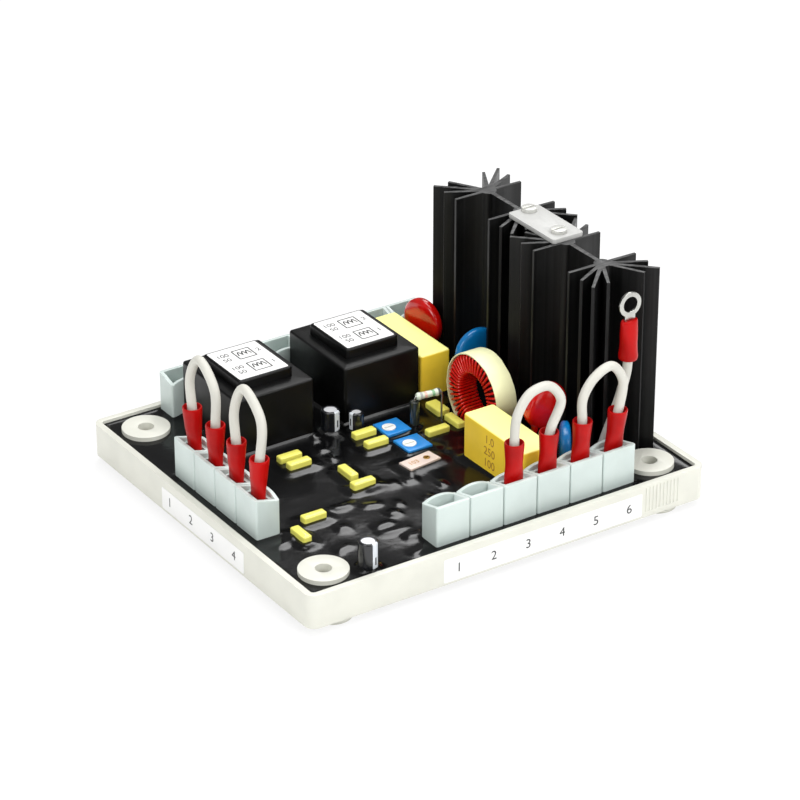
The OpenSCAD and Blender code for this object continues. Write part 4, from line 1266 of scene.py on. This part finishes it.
    def build(self, maker: Maker) -> None:
        """Casts the resin: a grid of heights over the cavity, open round each boss, with a flat underside.

        The grid has finer lines in front of the transformers, where the climbing resin catches the light.

        Args:
            maker: makes the pieces.
        """
        half = Box.of("potting").size[:2] / 2 - self.edge_gap
        xs = np.linspace(-half[0], half[0], int(2 * half[0] / self.spacing))
        ys = np.linspace(-half[1], half[1], int(2 * half[1] / self.spacing))
        shore = Box.of("left_transformer").low[1]
        near = shore - self.fine * np.arange(self.fine_lines)
        far = ys[(ys < near[-1] - self.fine) | (ys > shore + self.fine)]
        ys = np.sort(np.concatenate([far, near]))
        x, y = np.meshgrid(xs, ys, indexing="ij")
        z = self.heights(x, y, half)
        step, size = len(ys), len(xs) * len(ys)
        i, j = (g.ravel() for g in np.meshgrid(np.arange(len(xs) - 1), np.arange(step - 1), indexing="ij"))
        quads = np.stack([i * step + j, (i + 1) * step + j, (i + 1) * step + j + 1, i * step + j + 1], 1)
        middle = np.stack([np.abs(x.ravel()[quads]).mean(1), np.abs(y.ravel()[quads]).mean(1)], 1)
        quads = quads[np.hypot(*(middle - np.array(self.boss)).T) > self.boss_r - self.boss_lap]
        edges = np.concatenate([quads[:, [k, (k + 1) % 4]] for k in range(4)])
        order = {tuple(e) for e in edges.tolist()}
        rim = np.array([e for e in edges.tolist() if (e[1], e[0]) not in order])
        sides = np.stack([rim[:, 1], rim[:, 0], rim[:, 0] + size, rim[:, 1] + size], 1)
        faces = np.concatenate([quads, quads[:, ::-1] + size, sides])
        top = np.column_stack([x.ravel(), y.ravel(), z.ravel()])
        under = np.column_stack([x.ravel(), y.ravel(), np.full(size, self.level - self.depth)])
        points = np.concatenate([top, under])
        used, index = np.unique(faces, return_inverse=True)
        faces = index.reshape(faces.shape)
        corners = [tuple(f) for f in faces.tolist()]
        surface = Surface(points[used], corners, [(0.0, 0.0)] * faces.size, [0] * len(faces))
        maker.piece("resin_filling", surface, RESIN, "filling_resin", ["potting"], sharp=70.0)


@dataclass
class LabelStrip:
    """Narrow paper label on a side wall of the tray, with plain numbers."""

    name: str
    middle: Point
    length: float
    height: float
    turn: float
    first: float
    step: float
    count: int
    mark_height: float = 3.3
    thickness: float = 0.12

    def build(self, maker: Maker) -> None:
        """Lays the paper flat, stands it up against its wall and prints the numbers on it.

        Args:
            maker: makes the pieces.
        """
        sheet = block(self.length, self.height, 0.0, self.thickness, corner=0.5, edge=0.05)
        stood = sheet.spun(UPRIGHT).turned(self.turn).moved(*self.middle)
        maker.piece(f"{self.name}_label", stood, PAPER, "tie_white")
        spin = Matrix.Rotation(math.radians(self.turn), 4, "Z") @ Matrix.Rotation(math.pi / 2, 4, "X")
        place = Matrix.Translation(Vector(self.middle) * MM) @ spin
        numbers = [(str(k + 1), self.first + self.step * k, 0.0) for k in range(self.count)]
        print_marks(maker, f"{self.name}_numbers", numbers, self.mark_height, place, self.thickness)


# Text size that makes figures 1 mm high, half the ink's thickness, and the distance that merges corners
TEXT_SIZE = 1.38
INK_HALF = 0.02
INK_MERGING = 1e-7


def print_marks(
    maker: Maker,
    name: str,
    marks: Sequence[Mark],
    height: float,
    place: Matrix,
    lift: float,
    finish: Finish = INK,
) -> None:
    """Prints short numbers as one thin mesh.

    Args:
        maker: makes the piece.
        name: the piece's name.
        marks: each number with its place on the label, in millimetres.
        height: height of the figures.
        place: from the label's plane to the part's frame.
        lift: height of the ink's foot above that plane.
        finish: the ink.
    """
    ink = bmesh.new()
    for text, x, y in marks:
        curve = bpy.data.curves.new("figure", "FONT")
        curve.body = text
        curve.size = height * TEXT_SIZE * MM
        curve.align_x = "CENTER"
        curve.align_y = "CENTER"
        curve.extrude = INK_HALF * MM
        figure = bpy.data.objects.new("figure", curve)
        mesh = bpy.data.meshes.new_from_object(figure)
        mesh.transform(place @ Matrix.Translation(Vector((x, y, lift + INK_HALF)) * MM))
        ink.from_mesh(mesh)
        bpy.data.objects.remove(figure)
        bpy.data.meshes.remove(mesh)
    bmesh.ops.remove_doubles(ink, verts=ink.verts, dist=INK_MERGING)
    made = bpy.data.meshes.new(name)
    ink.to_mesh(made)
    ink.free()
    shown = bpy.data.objects.new(name, made)
    bpy.context.scene.collection.objects.link(shown)
    maker.dress(shown, finish, "diode_black", (), BODY)


@dataclass
class TabStrip:
    """One row of tab housings, and on two of the rows the red sleeves and the jumper wires between them."""

    name: str
    origin: Span = (0.0, 0.0)
    turn: float = 0.0
    pitch: float = 12.7
    leans: Sequence[float] = ()
    routes: Sequence[Sequence[Span]] = ()
    sleeve_z: float = 20.5
    sleeve_h: float = 18.2
    seat: float = 15.7
    wire_r: float = 1.55
    outside: Sequence[Point] = (
        (0, 3.45, 1.6), (4.2, 3.5, 1.7), (6.5, 3.45, 1.8), (8.6, 3.1, 2.25), (10.8, 2.8, 2.7),
        (13.2, 2.9, 2.88), (16.2, 3.12, 3.12), (17.6, 3.2, 3.2), (18.0, 3.17, 3.17),
    )
    mouth: Sequence[Point] = (
        (18.2, 3.05, 3.05), (18.2, 2.8, 2.8), (17.9, 2.62, 2.62), (16.6, 2.2, 2.2), (15.7, 1.65, 1.65),
    )

    def sleeve(self, lean: float) -> Surface:
        """One sleeve: ovals up a leaning line, flat at the foot, waisted, then flared round a wire's seat.

        Args:
            lean: sideways step of its mouth along the strip.

        Returns:
            The closed surface, its foot at height 0.
        """
        outside = smooth_path(np.array(self.outside), steps=4)
        return ovals(np.concatenate([outside, np.array(self.mouth)]), lean / self.sleeve_h)

    def wire(self, first: int, route: Sequence[Span]) -> Surface:
        """One jumper between two neighbouring sleeves: a tube along a smooth upright curve.

        Args:
            first: number of the sleeve that it starts from.
            route: points as distance along the strip from that tab, then height above the wire's seat.

        Returns:
            The closed surface, in the strip's own frame.
        """
        share = self.seat / self.sleeve_h
        start = self.leans[first] * share
        stop = self.pitch + self.leans[first + 1] * share
        points = np.array([(start, 0.0), *route, (stop, 0.0)])
        flat = smooth_path(points, steps=10, ends=(RISING, -RISING))
        path = np.column_stack([flat[:, 0], np.zeros(len(flat)), flat[:, 1]])
        path += np.array([first * self.pitch, 0.0, self.sleeve_z + self.seat])
        return tube(path, self.wire_r, Axis.Y, sides=16)

    def build(self, maker: Maker) -> None:
        """Dresses the housings and blades, and makes the row's sleeves and jumpers.

        Args:
            maker: makes the pieces.
        """
        maker.softened(f"{self.name}_tab_housings", NYLON, "housing_nylon", radius=0.28, level=12.0)
        maker.paint(f"{self.name}_tab_blades", TIN)
        if not self.leans:
            return
        maker.paint(f"{self.name}_receptacles", TIN)
        maker.softened(f"{self.name}_shells", NYLON, "housing_nylon", radius=0.25, level=20.0)
        sleeves = [
            self.sleeve(lean).moved(k * self.pitch, 0.0, self.sleeve_z) for k, lean in enumerate(self.leans)
        ]
        whole = join(sleeves).turned(self.turn).moved(*self.origin, 0.0)
        node = f"{self.name}_sleeves"
        maker.piece(f"{node}_look", whole, RED, "sleeve_red", [node], sharp=50.0)
        for k, route in enumerate(self.routes):
            made = self.wire(2 * k, route).turned(self.turn).moved(*self.origin, 0.0)
            node = f"{self.name}_jumper_{k + 1}"
            maker.piece(f"{node}_look", made, WIRE, "wire_white", [node], sharp=60.0)


@dataclass
class RingLead:
    """Short free lead from the resin up to its red sleeve and ring terminal."""

    y: float = -51.0
    foot: float = RESIN_TOP
    diameter: float = 3.1
    sections: Sequence[Point] = (
        (0, 2.95, 2.95), (0.5, 3.1, 3.1), (3.0, 2.95, 2.95), (5.2, 2.85, 2.8), (8.5, 3.05, 2.5),
        (11.5, 3.12, 2.0), (13.0, 3.1, 1.7), (13.5, 2.9, 1.5),
    )
    route: Sequence[Span] = (
        (43.2, 0), (43.2, 1.5), (43.4, 3.5), (43.9, 6), (44.7, 8.5), (45.9, 11.5), (47.1, 14.5),
        (48.4, 17.5), (49.6, 20.5), (50.8, 23.5), (51.9, 26.5), (52.9, 29.5), (53.8, 32.5), (54.4, 35.5),
        (54.6, 38.9),
    )

    def build(self, maker: Maker) -> None:
        """Args:
            maker: makes the pieces.
        """
        flat = smooth_path(np.array(self.route, float), steps=4, ends=(RISING, RISING))
        path = np.column_stack([flat[:, 0], np.full(len(flat), self.y), flat[:, 1] + self.foot])
        surface = tube(path, self.diameter / 2, Axis.Y, sides=16)
        lead = maker.piece("ring_lead_look", surface, WIRE, "wire_white", ["ring_lead"], sharp=60.0)
        cover = ovals(smooth_path(np.array(self.sections), steps=4)).moved(*path[-1])
        sleeve = maker.piece(
            "ring_lead_sleeve_look", cover, RED, "sleeve_red", ["ring_lead_sleeve"], sharp=60.0
        )
        terminal = maker.softened("ring_terminal", TIN, "tin_plate", radius=0.15)


@dataclass
class SinkPair:
    """Two fan-fin heat sinks with their tie plate, transistors and screws."""

    def build(self, maker: Maker) -> None:
        """Rounds the cut edges a little and dresses every piece.

        Args:
            maker: makes the pieces.
        """
        for node in ("rear_heat_sink", "front_heat_sink"):
            maker.softened(node, SINK, "sink_black", radius=0.10, level=12.0)
        maker.softened("sink_tie_plate", TIE, "tie_white", radius=0.2)
        maker.softened("tie_plate_screws", STEEL, "screw_steel", radius=0.15, level=76.0)
        maker.softened("power_transistors", MOULDED, "transistor_black", radius=0.2, level=13.0)
        maker.paint("transistor_screws", STEEL)


@dataclass
class Transformer:
    """Potted transformer: a stepped block with a white label on its raised top."""

    node: str
    corner: float = 1.2
    edge: float = 0.7
    block_h: float = 3.5
    block_w: float = 20.4
    block_d: float = 23.5
    block_lap: float = 1.0
    label_w: float = 18.4
    label_d: float = 21.5
    label_t: float = 0.1
    row: float = 4.8
    sign: float = 6.2
    sign_x: float = 1.6
    humps: int = 3
    hump_run: float = 1.5
    hump_rise: float = 0.8
    hump_drop: float = 0.3
    samples: int = 28
    stroke: float = 0.42
    frame_t: float = 0.04
    humps_t: float = 0.05
    figure_h: float = 2.2
    lines: Sequence[tuple[str, float]] = (("100", 1.6), ("50", -1.6))
    lines_x: float = -5.6
    count_x: float = 7.0

    def coil_sign(self, x: float, y: float) -> Surface:
        """Plain square with a row of half rounds in it, as drawn for a coil.

        Args:
            x: place of the sign's middle along X.
            y: place of the sign's middle along Y.

        Returns:
            The strokes as one surface, from height 0.
        """
        s = self.sign / 2
        frame = np.array([(-s, -s), (s, -s), (s, s), (-s, s), (-s, -s)], float)
        sides = [ribbon(frame[k : k + 2], self.stroke, self.frame_t) for k in range(4)]
        t = np.linspace(0, 1, self.samples)
        rounds = np.abs(np.sin(self.humps * math.pi * t))
        rise = self.hump_rise * rounds - self.hump_drop
        line = s * np.column_stack([(t - 0.5) * self.hump_run, rise])
        return join([*sides, ribbon(line, self.stroke, self.humps_t)]).moved(x, y, 0.0)

    def build(self, maker: Maker) -> None:
        """Makes the stepped case, its label and the signs on it.

        Args:
            maker: makes the pieces.
        """
        box = Box.of(self.node)
        x, y, _ = box.middle
        w, d, _ = box.size
        top = box.high[2]
        shoulder = top - self.block_h
        body = block(w, d, box.low[2], shoulder, self.corner, self.edge)
        raised = block(
            self.block_w, self.block_d, shoulder - self.block_lap, top, self.corner, self.edge
        )
        case = join([body, raised]).moved(x, y, 0.0)
        maker.piece(f"{self.node}_look", case, CASE, "transformer_black", [self.node])
        label = block(self.label_w, self.label_d, top, top + self.label_t, corner=0.6, edge=0.05)
        maker.piece(f"{self.node}_label", label.moved(x, y, 0.0), PAPER, "tie_white")
        rows = (-self.row, self.row)
        signs = join([self.coil_sign(self.sign_x, r) for r in rows]).moved(x, y, top + self.label_t)
        maker.piece(f"{self.node}_signs", signs, INK, "diode_black")
        place = Matrix.Translation(Vector((x, y, top)) * MM)
        marks = [(text, self.lines_x, r + step) for r in rows for text, step in self.lines]
        marks += [(str(k + 1), self.count_x, r) for k, r in enumerate(rows)]
        print_marks(maker, f"{self.node}_numbers", marks, self.figure_h, place, self.label_t)


@dataclass
class Disc:
    """Lacquered disc on two leads.

    Its section is the curve where shares of its radius and of its thickness, raised to a power, add to 1.
    The lacquer runs down each lead, with its radius given by height above the disc's rim there.
    """

    node: str
    turn: float
    diameter: float
    thickness: float
    finish: Finish
    slot: str
    power: float = 2 / 3.4
    pole_gap: float = 0.02
    samples: int = 25
    sides: int = 56
    lead_pitch: float = 7.5
    lead_r: float = 0.45
    run: Sequence[Span] = ((1.2, 1.5), (-0.2, 1.2), (-1.6, 0.75), (-3.0, 0.5))

    def build(self, maker: Maker) -> None:
        """Turns the disc, stands it up and makes its leads.

        Args:
            maker: makes the pieces.
        """
        box = Box.of(self.node)
        x, y, _ = box.middle
        r, foot = self.diameter / 2, self.lead_pitch / 2
        end = math.pi / 2 - self.pole_gap
        a = np.linspace(-end, end, self.samples)
        height = self.thickness / 2 * swollen(np.sin(a), self.power)
        section = np.column_stack([r * swollen(np.cos(a), self.power), height])
        face = lathe(section, self.sides)
        middle = box.high[2] - r
        rim = middle - math.sqrt(r**2 - foot**2)
        line = [(rim + step, size) for step, size in self.run] + [(BOARD_TOP, self.lead_r)]
        z, radius = np.array(line).T
        parts = [face.spun(UPRIGHT).moved(0.0, 0.0, middle)]
        for side in (-foot, foot):
            path = np.column_stack([np.full(len(z), side), np.zeros(len(z)), z])
            parts.append(tube(path, radius, Axis.X))
        whole = join(parts).turned(self.turn).moved(x, y, 0.0)
        maker.piece(f"{self.node}_look", whole, self.finish, self.slot, [self.node], sharp=60.0)


@dataclass
class BoardParts:
    """Capacitors, discs, trimmers and the parts buried in the resin."""

    films: Sequence[Point] = (
        (-33.63, 11.1, 0), (-33.33, 5.78, 0), (-47.7, -25.97, 0), (-23.19, -16.43, 0), (-4.8, 11.41, 0),
        (-4.89, 3.96, 0), (16.3, -0.15, 0), (-56.84, -33.32, 90), (-23.39, -7.99, 90), (24.84, 2.27, 90),
    )
    wide_film: Point = (25.0, 12.7, 90)
    film_l: float = 8.4
    film_t: float = 3.2
    wide_film_t: float = 4.6
    film_crown: float = 0.15
    cans: Sequence[Footprint] = (
        (-11.75, 20.8, 6.3, 11.7, 48.0), (-4.3, 16.7, 5.0, 10.5, -52.0), (-49.5, -60.2, 6.3, 13.5, 48.0),
    )
    can_edge: float = 0.55
    can_dish: Sequence[Span] = ((0.95, 0.02), (1.0, 0.25))
    discs: Sequence[Disc] = (
        Disc("rear_red_disc", 100.0, 16.8, 4.6, DISC_RED, "disc_red"),
        Disc("front_red_disc", 0.0, 16.0, 4.6, DISC_RED, "disc_red"),
        Disc("rear_blue_disc", 0.0, 17.0, 4.0, DISC_BLUE, "disc_blue"),
        Disc("front_blue_disc", 56.0, 16.0, 4.0, DISC_BLUE, "disc_blue"),
    )
    raised_r: float = 1.3
    raised_pitch: float = 10.0
    raised_half: Sequence[Span] = ((0.15, 0.0), (0.15, 2.2), (0.0, 3.0), (0.0, 3.8), (0.4, 4.4))
    raised_bend: Sequence[Span] = ((0.0, 4.0), (0.0, 0.9), (0.25, 0.2), (0.7, 0.0), (2.0, 0.0))
    raised_lead_r: float = 0.35
    trimmer_side: float = 9.2
    flat_trimmer: Footprint = (0.615, -13.5, 6.3, 3.0, 7.0)
    flat_marks: Sequence[Mark] = (("103", -2.6, 0.0),)
    flat_mark_h: float = 2.0
    box_marks: Sequence[Mark] = (("1.0", -2.0, 6.0), ("250", -2.0, 1.8), ("100", -2.0, -2.4))
    box_mark_h: float = 3.0

    def low_footprints(self) -> list[Footprint]:
        """Footprints of parts that barely clear the resin, as (x, y, half width, half depth, turn).

        Returns:
            One footprint for each film capacitor and each trimmer.
        """
        found = [(x, y, self.film_l / 2, self.film_t / 2, turn) for x, y, turn in self.films]
        x, y, turn = self.wide_film
        found.append((x, y, self.film_l / 2, self.wide_film_t / 2, turn))
        half = self.trimmer_side / 2
        for node in ("rear_trimmer", "front_trimmer"):
            found.append((*Box.of(node).middle[:2], half, half, 0.0))
        return [*found, self.flat_trimmer]

    def round_footprints(self) -> list[Point]:
        """Footprints of the cans and of the sleeved lead, as (x, y, diameter)."""
        sleeve = Box.of("raised_lead_sleeve")
        return [*(can[:3] for can in self.cans), (*sleeve.middle[:2], sleeve.size[0])]

    def box_capacitors(self, maker: Maker) -> None:
        """Two moulded boxes with soft edges, the front one with numbers on its left side.

        Args:
            maker: makes the pieces.
        """
        for node in ("rear_box_capacitor", "front_box_capacitor"):
            box = Box.of(node)
            x, y, _ = box.middle
            w, d, _ = box.size
            made = block(w, d, box.low[2], box.high[2], corner=1.0, edge=0.8).moved(x, y, 0.0)
            maker.piece(f"{node}_look", made, YELLOW, "capacitor_yellow", [node])
        facing = Matrix.Rotation(-math.pi / 2, 4, "Z") @ Matrix.Rotation(math.pi / 2, 4, "X")
        front = Box.of("front_box_capacitor")
        place = Matrix.Translation(Vector((front.low[0], *front.middle[1:])) * MM) @ facing
        name = "front_box_capacitor_numbers"
        print_marks(maker, name, self.box_marks, self.box_mark_h, place, lift=0.0, finish=BROWN_INK)

    def film_capacitors(self, maker: Maker) -> None:
        """Small dipped boxes with crowned tops.

        Args:
            maker: makes the pieces.
        """
        box = Box.of("film_capacitors")
        crown = self.film_crown
        one, wide = (
            block(self.film_l, t, box.low[2], box.high[2] - crown, corner=0.7, edge=0.5, swell=crown)
            for t in (self.film_t, self.wide_film_t)
        )
        places = [(one, *place) for place in self.films] + [(wide, *self.wide_film)]
        made = join([shape.turned(turn).moved(x, y, 0.0) for shape, x, y, turn in places])
        maker.piece("film_capacitors_look", made, PALE_YELLOW, "capacitor_yellow", ["film_capacitors"])

    def electrolytics(self, maker: Maker) -> None:
        """Cans turned from one profile: film sleeve, rolled shoulder and a bare dished end.

        Args:
            maker: makes the pieces.
        """
        a = np.linspace(0, math.pi / 2, ARC)
        parts = []
        for x, y, d, h, turn in self.cans:
            edge = np.column_stack([self.can_edge * (1 - np.cos(a)), self.can_edge * (1 - np.sin(a))])
            top = np.array([d / 2, h]) - np.concatenate([edge, np.array(self.can_dish)])
            profile = np.concatenate([[(d / 2, 0.0)], top])
            parts.append(lathe(profile, sides=36, end_slot=1).turned(turn).moved(x, y, BOARD_TOP))
        node = "electrolytic_capacitors"
        maker.piece(f"{node}_look", join(parts), [CAN_FILM, CAN_TOP], "can_sleeve", [node])

    def raised_resistor(self, maker: Maker) -> None:
        """Resistor with thicker ends high over the board on two bent leads, one of them in a tube.

        Args:
            maker: makes the pieces.
        """
        box = Box.of("raised_resistor")
        x, y, _ = box.middle
        axis = box.high[2] - self.raised_r
        foot = self.raised_pitch / 2
        outline = np.array([(self.raised_r - inset, step) for inset, step in self.raised_half])
        half = smooth_path(outline, steps=4)
        profile = np.concatenate([half[::-1] * np.array([1, -1]), half[1:]])
        parts = [lathe(profile, sides=24).spun(LYING).moved(0.0, 0.0, axis)]
        bend = [(foot, BOARD_TOP)] + [(foot - inset, axis - drop) for inset, drop in self.raised_bend]
        for side in (-1, 1):
            line = smooth_path(np.array(bend) * np.array([side, 1]), steps=5)
            path = np.column_stack([line[:, 0], np.zeros(len(line)), line[:, 1]])
            parts.append(tube(path, self.raised_lead_r, Axis.Y, sides=10).painted(1))
        whole = join(parts).turned(RAISED_TURN).moved(x, y, 0.0)
        maker.piece("raised_resistor_look", whole, [BANDED, TIN], "resistor_pale", ["raised_resistor"])
        maker.softened("raised_lead_sleeve", SHRINK, "lead_sleeve_dark", radius=0.2, level=13.0)

    def trimmers(self, maker: Maker) -> None:
        """Two square trimmers and the flat one, with the rotors and the screw that turn in them.

        Args:
            maker: makes the pieces.
        """
        for end in ("rear", "front"):
            node = f"{end}_trimmer"
            body = f"{end}_rotor"
            maker.softened(node, BLUE, "trimmer_blue", radius=0.25, level=13.0)
            maker.softened(f"{node}_rotor", WHITE, "rotor_white", radius=0.12, body=body, level=13.3)
        maker.softened("multiturn_trimmer", PALE, "trimmer_pale", radius=0.25, level=13.0)
        maker.softened("multiturn_screw", BRASS, "adjuster_brass", radius=0.1, body="adjuster", level=13.1)
        x, y, _, _, turn = self.flat_trimmer
        top = Box.of("multiturn_trimmer").high[2]
        spin = Matrix.Rotation(math.radians(turn), 4, "Z")
        place = Matrix.Translation(Vector((x, y, top)) * MM) @ spin
        name = "multiturn_numbers"
        print_marks(maker, name, self.flat_marks, self.flat_mark_h, place, lift=0.0, finish=BROWN_INK)

    def build(self, maker: Maker) -> None:
        """Makes every part on the board.

        Args:
            maker: makes the pieces.
        """
        self.box_capacitors(maker)
        self.film_capacitors(maker)
        self.electrolytics(maker)
        for disc in self.discs:
            disc.build(maker)
        self.trimmers(maker)
        self.raised_resistor(maker)
        maker.paint("circuit_board", BOARD)
        maker.paint("axial_resistors", TAN)
        for node in ("rectifier_diodes", "control_chips"):
            maker.paint(node, MOULDED)


@dataclass
class Choke:
    """Toroid choke: a ring core, one layer of enamelled turns and tape round the outside."""

    turns: int = 46
    wire_r: float = 0.46
    samples: int = 22
    power: float = 0.32
    bore_r: float = 7.5
    strands: Sequence[Span] = ((-9.5, 1.0), (-8.0, 0.4), (-6.4, 0.0))
    strand_line: Sequence[Point] = ((0.4, 1.0, -8.5), (-0.2, -0.2, -10.2))
    strand_foot: Point = (-0.5, -1.2, 11.0)
    tape_t: float = 0.5
    tape_edge: Span = (0.3, 0.15)
    tape_sides: int = 96
    tape_waves: Sequence[Point] = ((5, 0.6, 0.12), (11, 0.0, 0.08))

    def winding(self, size: np.ndarray) -> Surface:
        """The turns: one tube that circles the core's section once for each turn on its way round the ring.

        The section is the curve where shares of its width and height, raised to a power, add to 1.

        Args:
            size: sizes of the CAD winding.

        Returns:
            The closed tube round the ring, centred on the ring's middle.
        """
        half_w, outer, _ = size / 2
        count = self.turns * self.samples
        s = np.arange(count) / count
        phi, theta = 2 * math.pi * self.turns * s, 2 * math.pi * s
        c, n = np.cos(phi), np.sin(phi)
        x = (half_w - self.wire_r) * swollen(c, self.power)
        depth = (outer - self.bore_r) / 2 - self.wire_r
        rho = (outer + self.bore_r) / 2 + depth * swollen(n, self.power)
        path = np.column_stack([x, rho * np.cos(theta), rho * np.sin(theta)])
        out = np.column_stack([c, n * np.cos(theta), n * np.sin(theta)])
        along = np.roll(path, -1, 0) - np.roll(path, 1, 0)
        return loft(carried(path, along, self.wire_r, out, sides=8), round_trip=True)

    def band(self, size: np.ndarray) -> Surface:
        """The tape: a thin section with soft edges, turned about the ring's axis, its edges slightly waved.

        Args:
            size: sizes of the CAD tape.

        Returns:
            The closed band, centred on the ring's middle.
        """
        half, r, _ = size / 2
        inset, drop = self.tape_edge
        section = np.array([
            (-half, r - self.tape_t), (half, r - self.tape_t), (half, r - drop),
            (half - inset, r), (inset - half, r), (-half, r - drop),
        ])
        a = np.linspace(0, 2 * math.pi, self.tape_sides, endpoint=False)[:, None]
        wave = np.abs(sum(swing * np.sin(k * a + phase) for k, phase, swing in self.tape_waves))
        side, out = section.T[:, None]
        rings = np.stack([side - np.sign(side) * wave, out * np.cos(a), out * np.sin(a)], 2)
        return loft(rings, round_trip=True)

    def ends(self, box: Box) -> list[Surface]:
        """The ends of the wire, which run down the left side into the resin.

        Args:
            box: space of the CAD winding.

        Returns:
            One tube for each end.
        """
        start = np.array([box.low[0], *box.middle[1:]])
        made = []
        for y, step in self.strands:
            line = [start + np.array([dx, y + dy, dz + step]) for dx, dy, dz in self.strand_line]
            dx, dy, z = self.strand_foot
            line.append(np.array([start[0] + dx, start[1] + y + dy, z]))
            path = smooth_path(np.array(line), steps=8)
            made.append(tube(path, self.wire_r, Axis.X, sides=8))
        return made

    def build(self, maker: Maker) -> None:
        """Makes the turns, the tape and the ends of the wire, and dresses the core.

        Args:
            maker: makes the pieces.
        """
        box = Box.of("choke_winding")
        coil = self.winding(box.size).moved(*box.middle)
        whole = join([coil, *self.ends(box)])
        maker.piece("choke_winding_look", whole, ENAMEL, "copper_enamel", ["choke_winding"], sharp=70.0)
        tape = self.band(Box.of("choke_tape").size).moved(*box.middle)
        maker.piece("choke_tape_look", tape, TAPE, "tape_cream", ["choke_tape"])
        maker.paint("choke_core", FERRITE)


def main() -> None:
    """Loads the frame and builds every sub-assembly in order."""
    logging.basicConfig(level=logging.INFO, format="%(name)s: %(message)s")
    maker = Maker(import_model())
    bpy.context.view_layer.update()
    Studio().build()
    RingLead().build(maker)
    parts = BoardParts()
    finger_grooves = ((48.0, -68.0, 4.0), (66.0, -67.0, 13.5))
    maker.softened("tray", TRAY, "tray_plastic", radius=0.4, sharp_box=finger_grooves)
    Filling(low_parts=parts.low_footprints(), round_parts=parts.round_footprints()).build(maker)
    LabelStrip(
        "front", (11.5, -67.5, 7.4), length=76.0, height=8.2, turn=0.0, first=-32.4, step=13.06, count=6
    ).build(maker)
    LabelStrip(
        "left", (-75.0, -3.7, 7.2), length=50.5, height=7.6, turn=-90.0, first=-20.3, step=13.2, count=4
    ).build(maker)
    TabStrip(
        "front", (6.15, -57.7), 0.0, leans=(0.1, 0.6, 0.8, 1.9),
        routes=(
            ((0.1, 2.6), (1.3, 12), (6.1, 18), (12.5, 18.6), (17.5, 12.9), (13.8, 2.6)),
            ((0.7, 2.5), (0.8, 10.4), (5.2, 16.5), (11.4, 18.7), (15.8, 13.5), (15, 3)),
        ),
    ).build(maker)
    TabStrip(
        "left", (-65.2, 16.55), -90.0, leans=(-1.2, 0.5, 0.6, 1.6),
        routes=(
            ((-1.3, 2.5), (-1.9, 12.6), (4.2, 21.2), (13.1, 14.9), (13.3, 3)),
            ((0.3, 2.5), (-0.4, 12.1), (6.1, 22.9), (15.3, 17), (14.7, 3)),
        ),
    ).build(maker)
    TabStrip("rear").build(maker)
    SinkPair().build(maker)
    for node in ("left_transformer", "right_transformer"):
        Transformer(node).build(maker)
    parts.build(maker)
    Choke().build(maker)


if __name__ == "__main__":
    main()
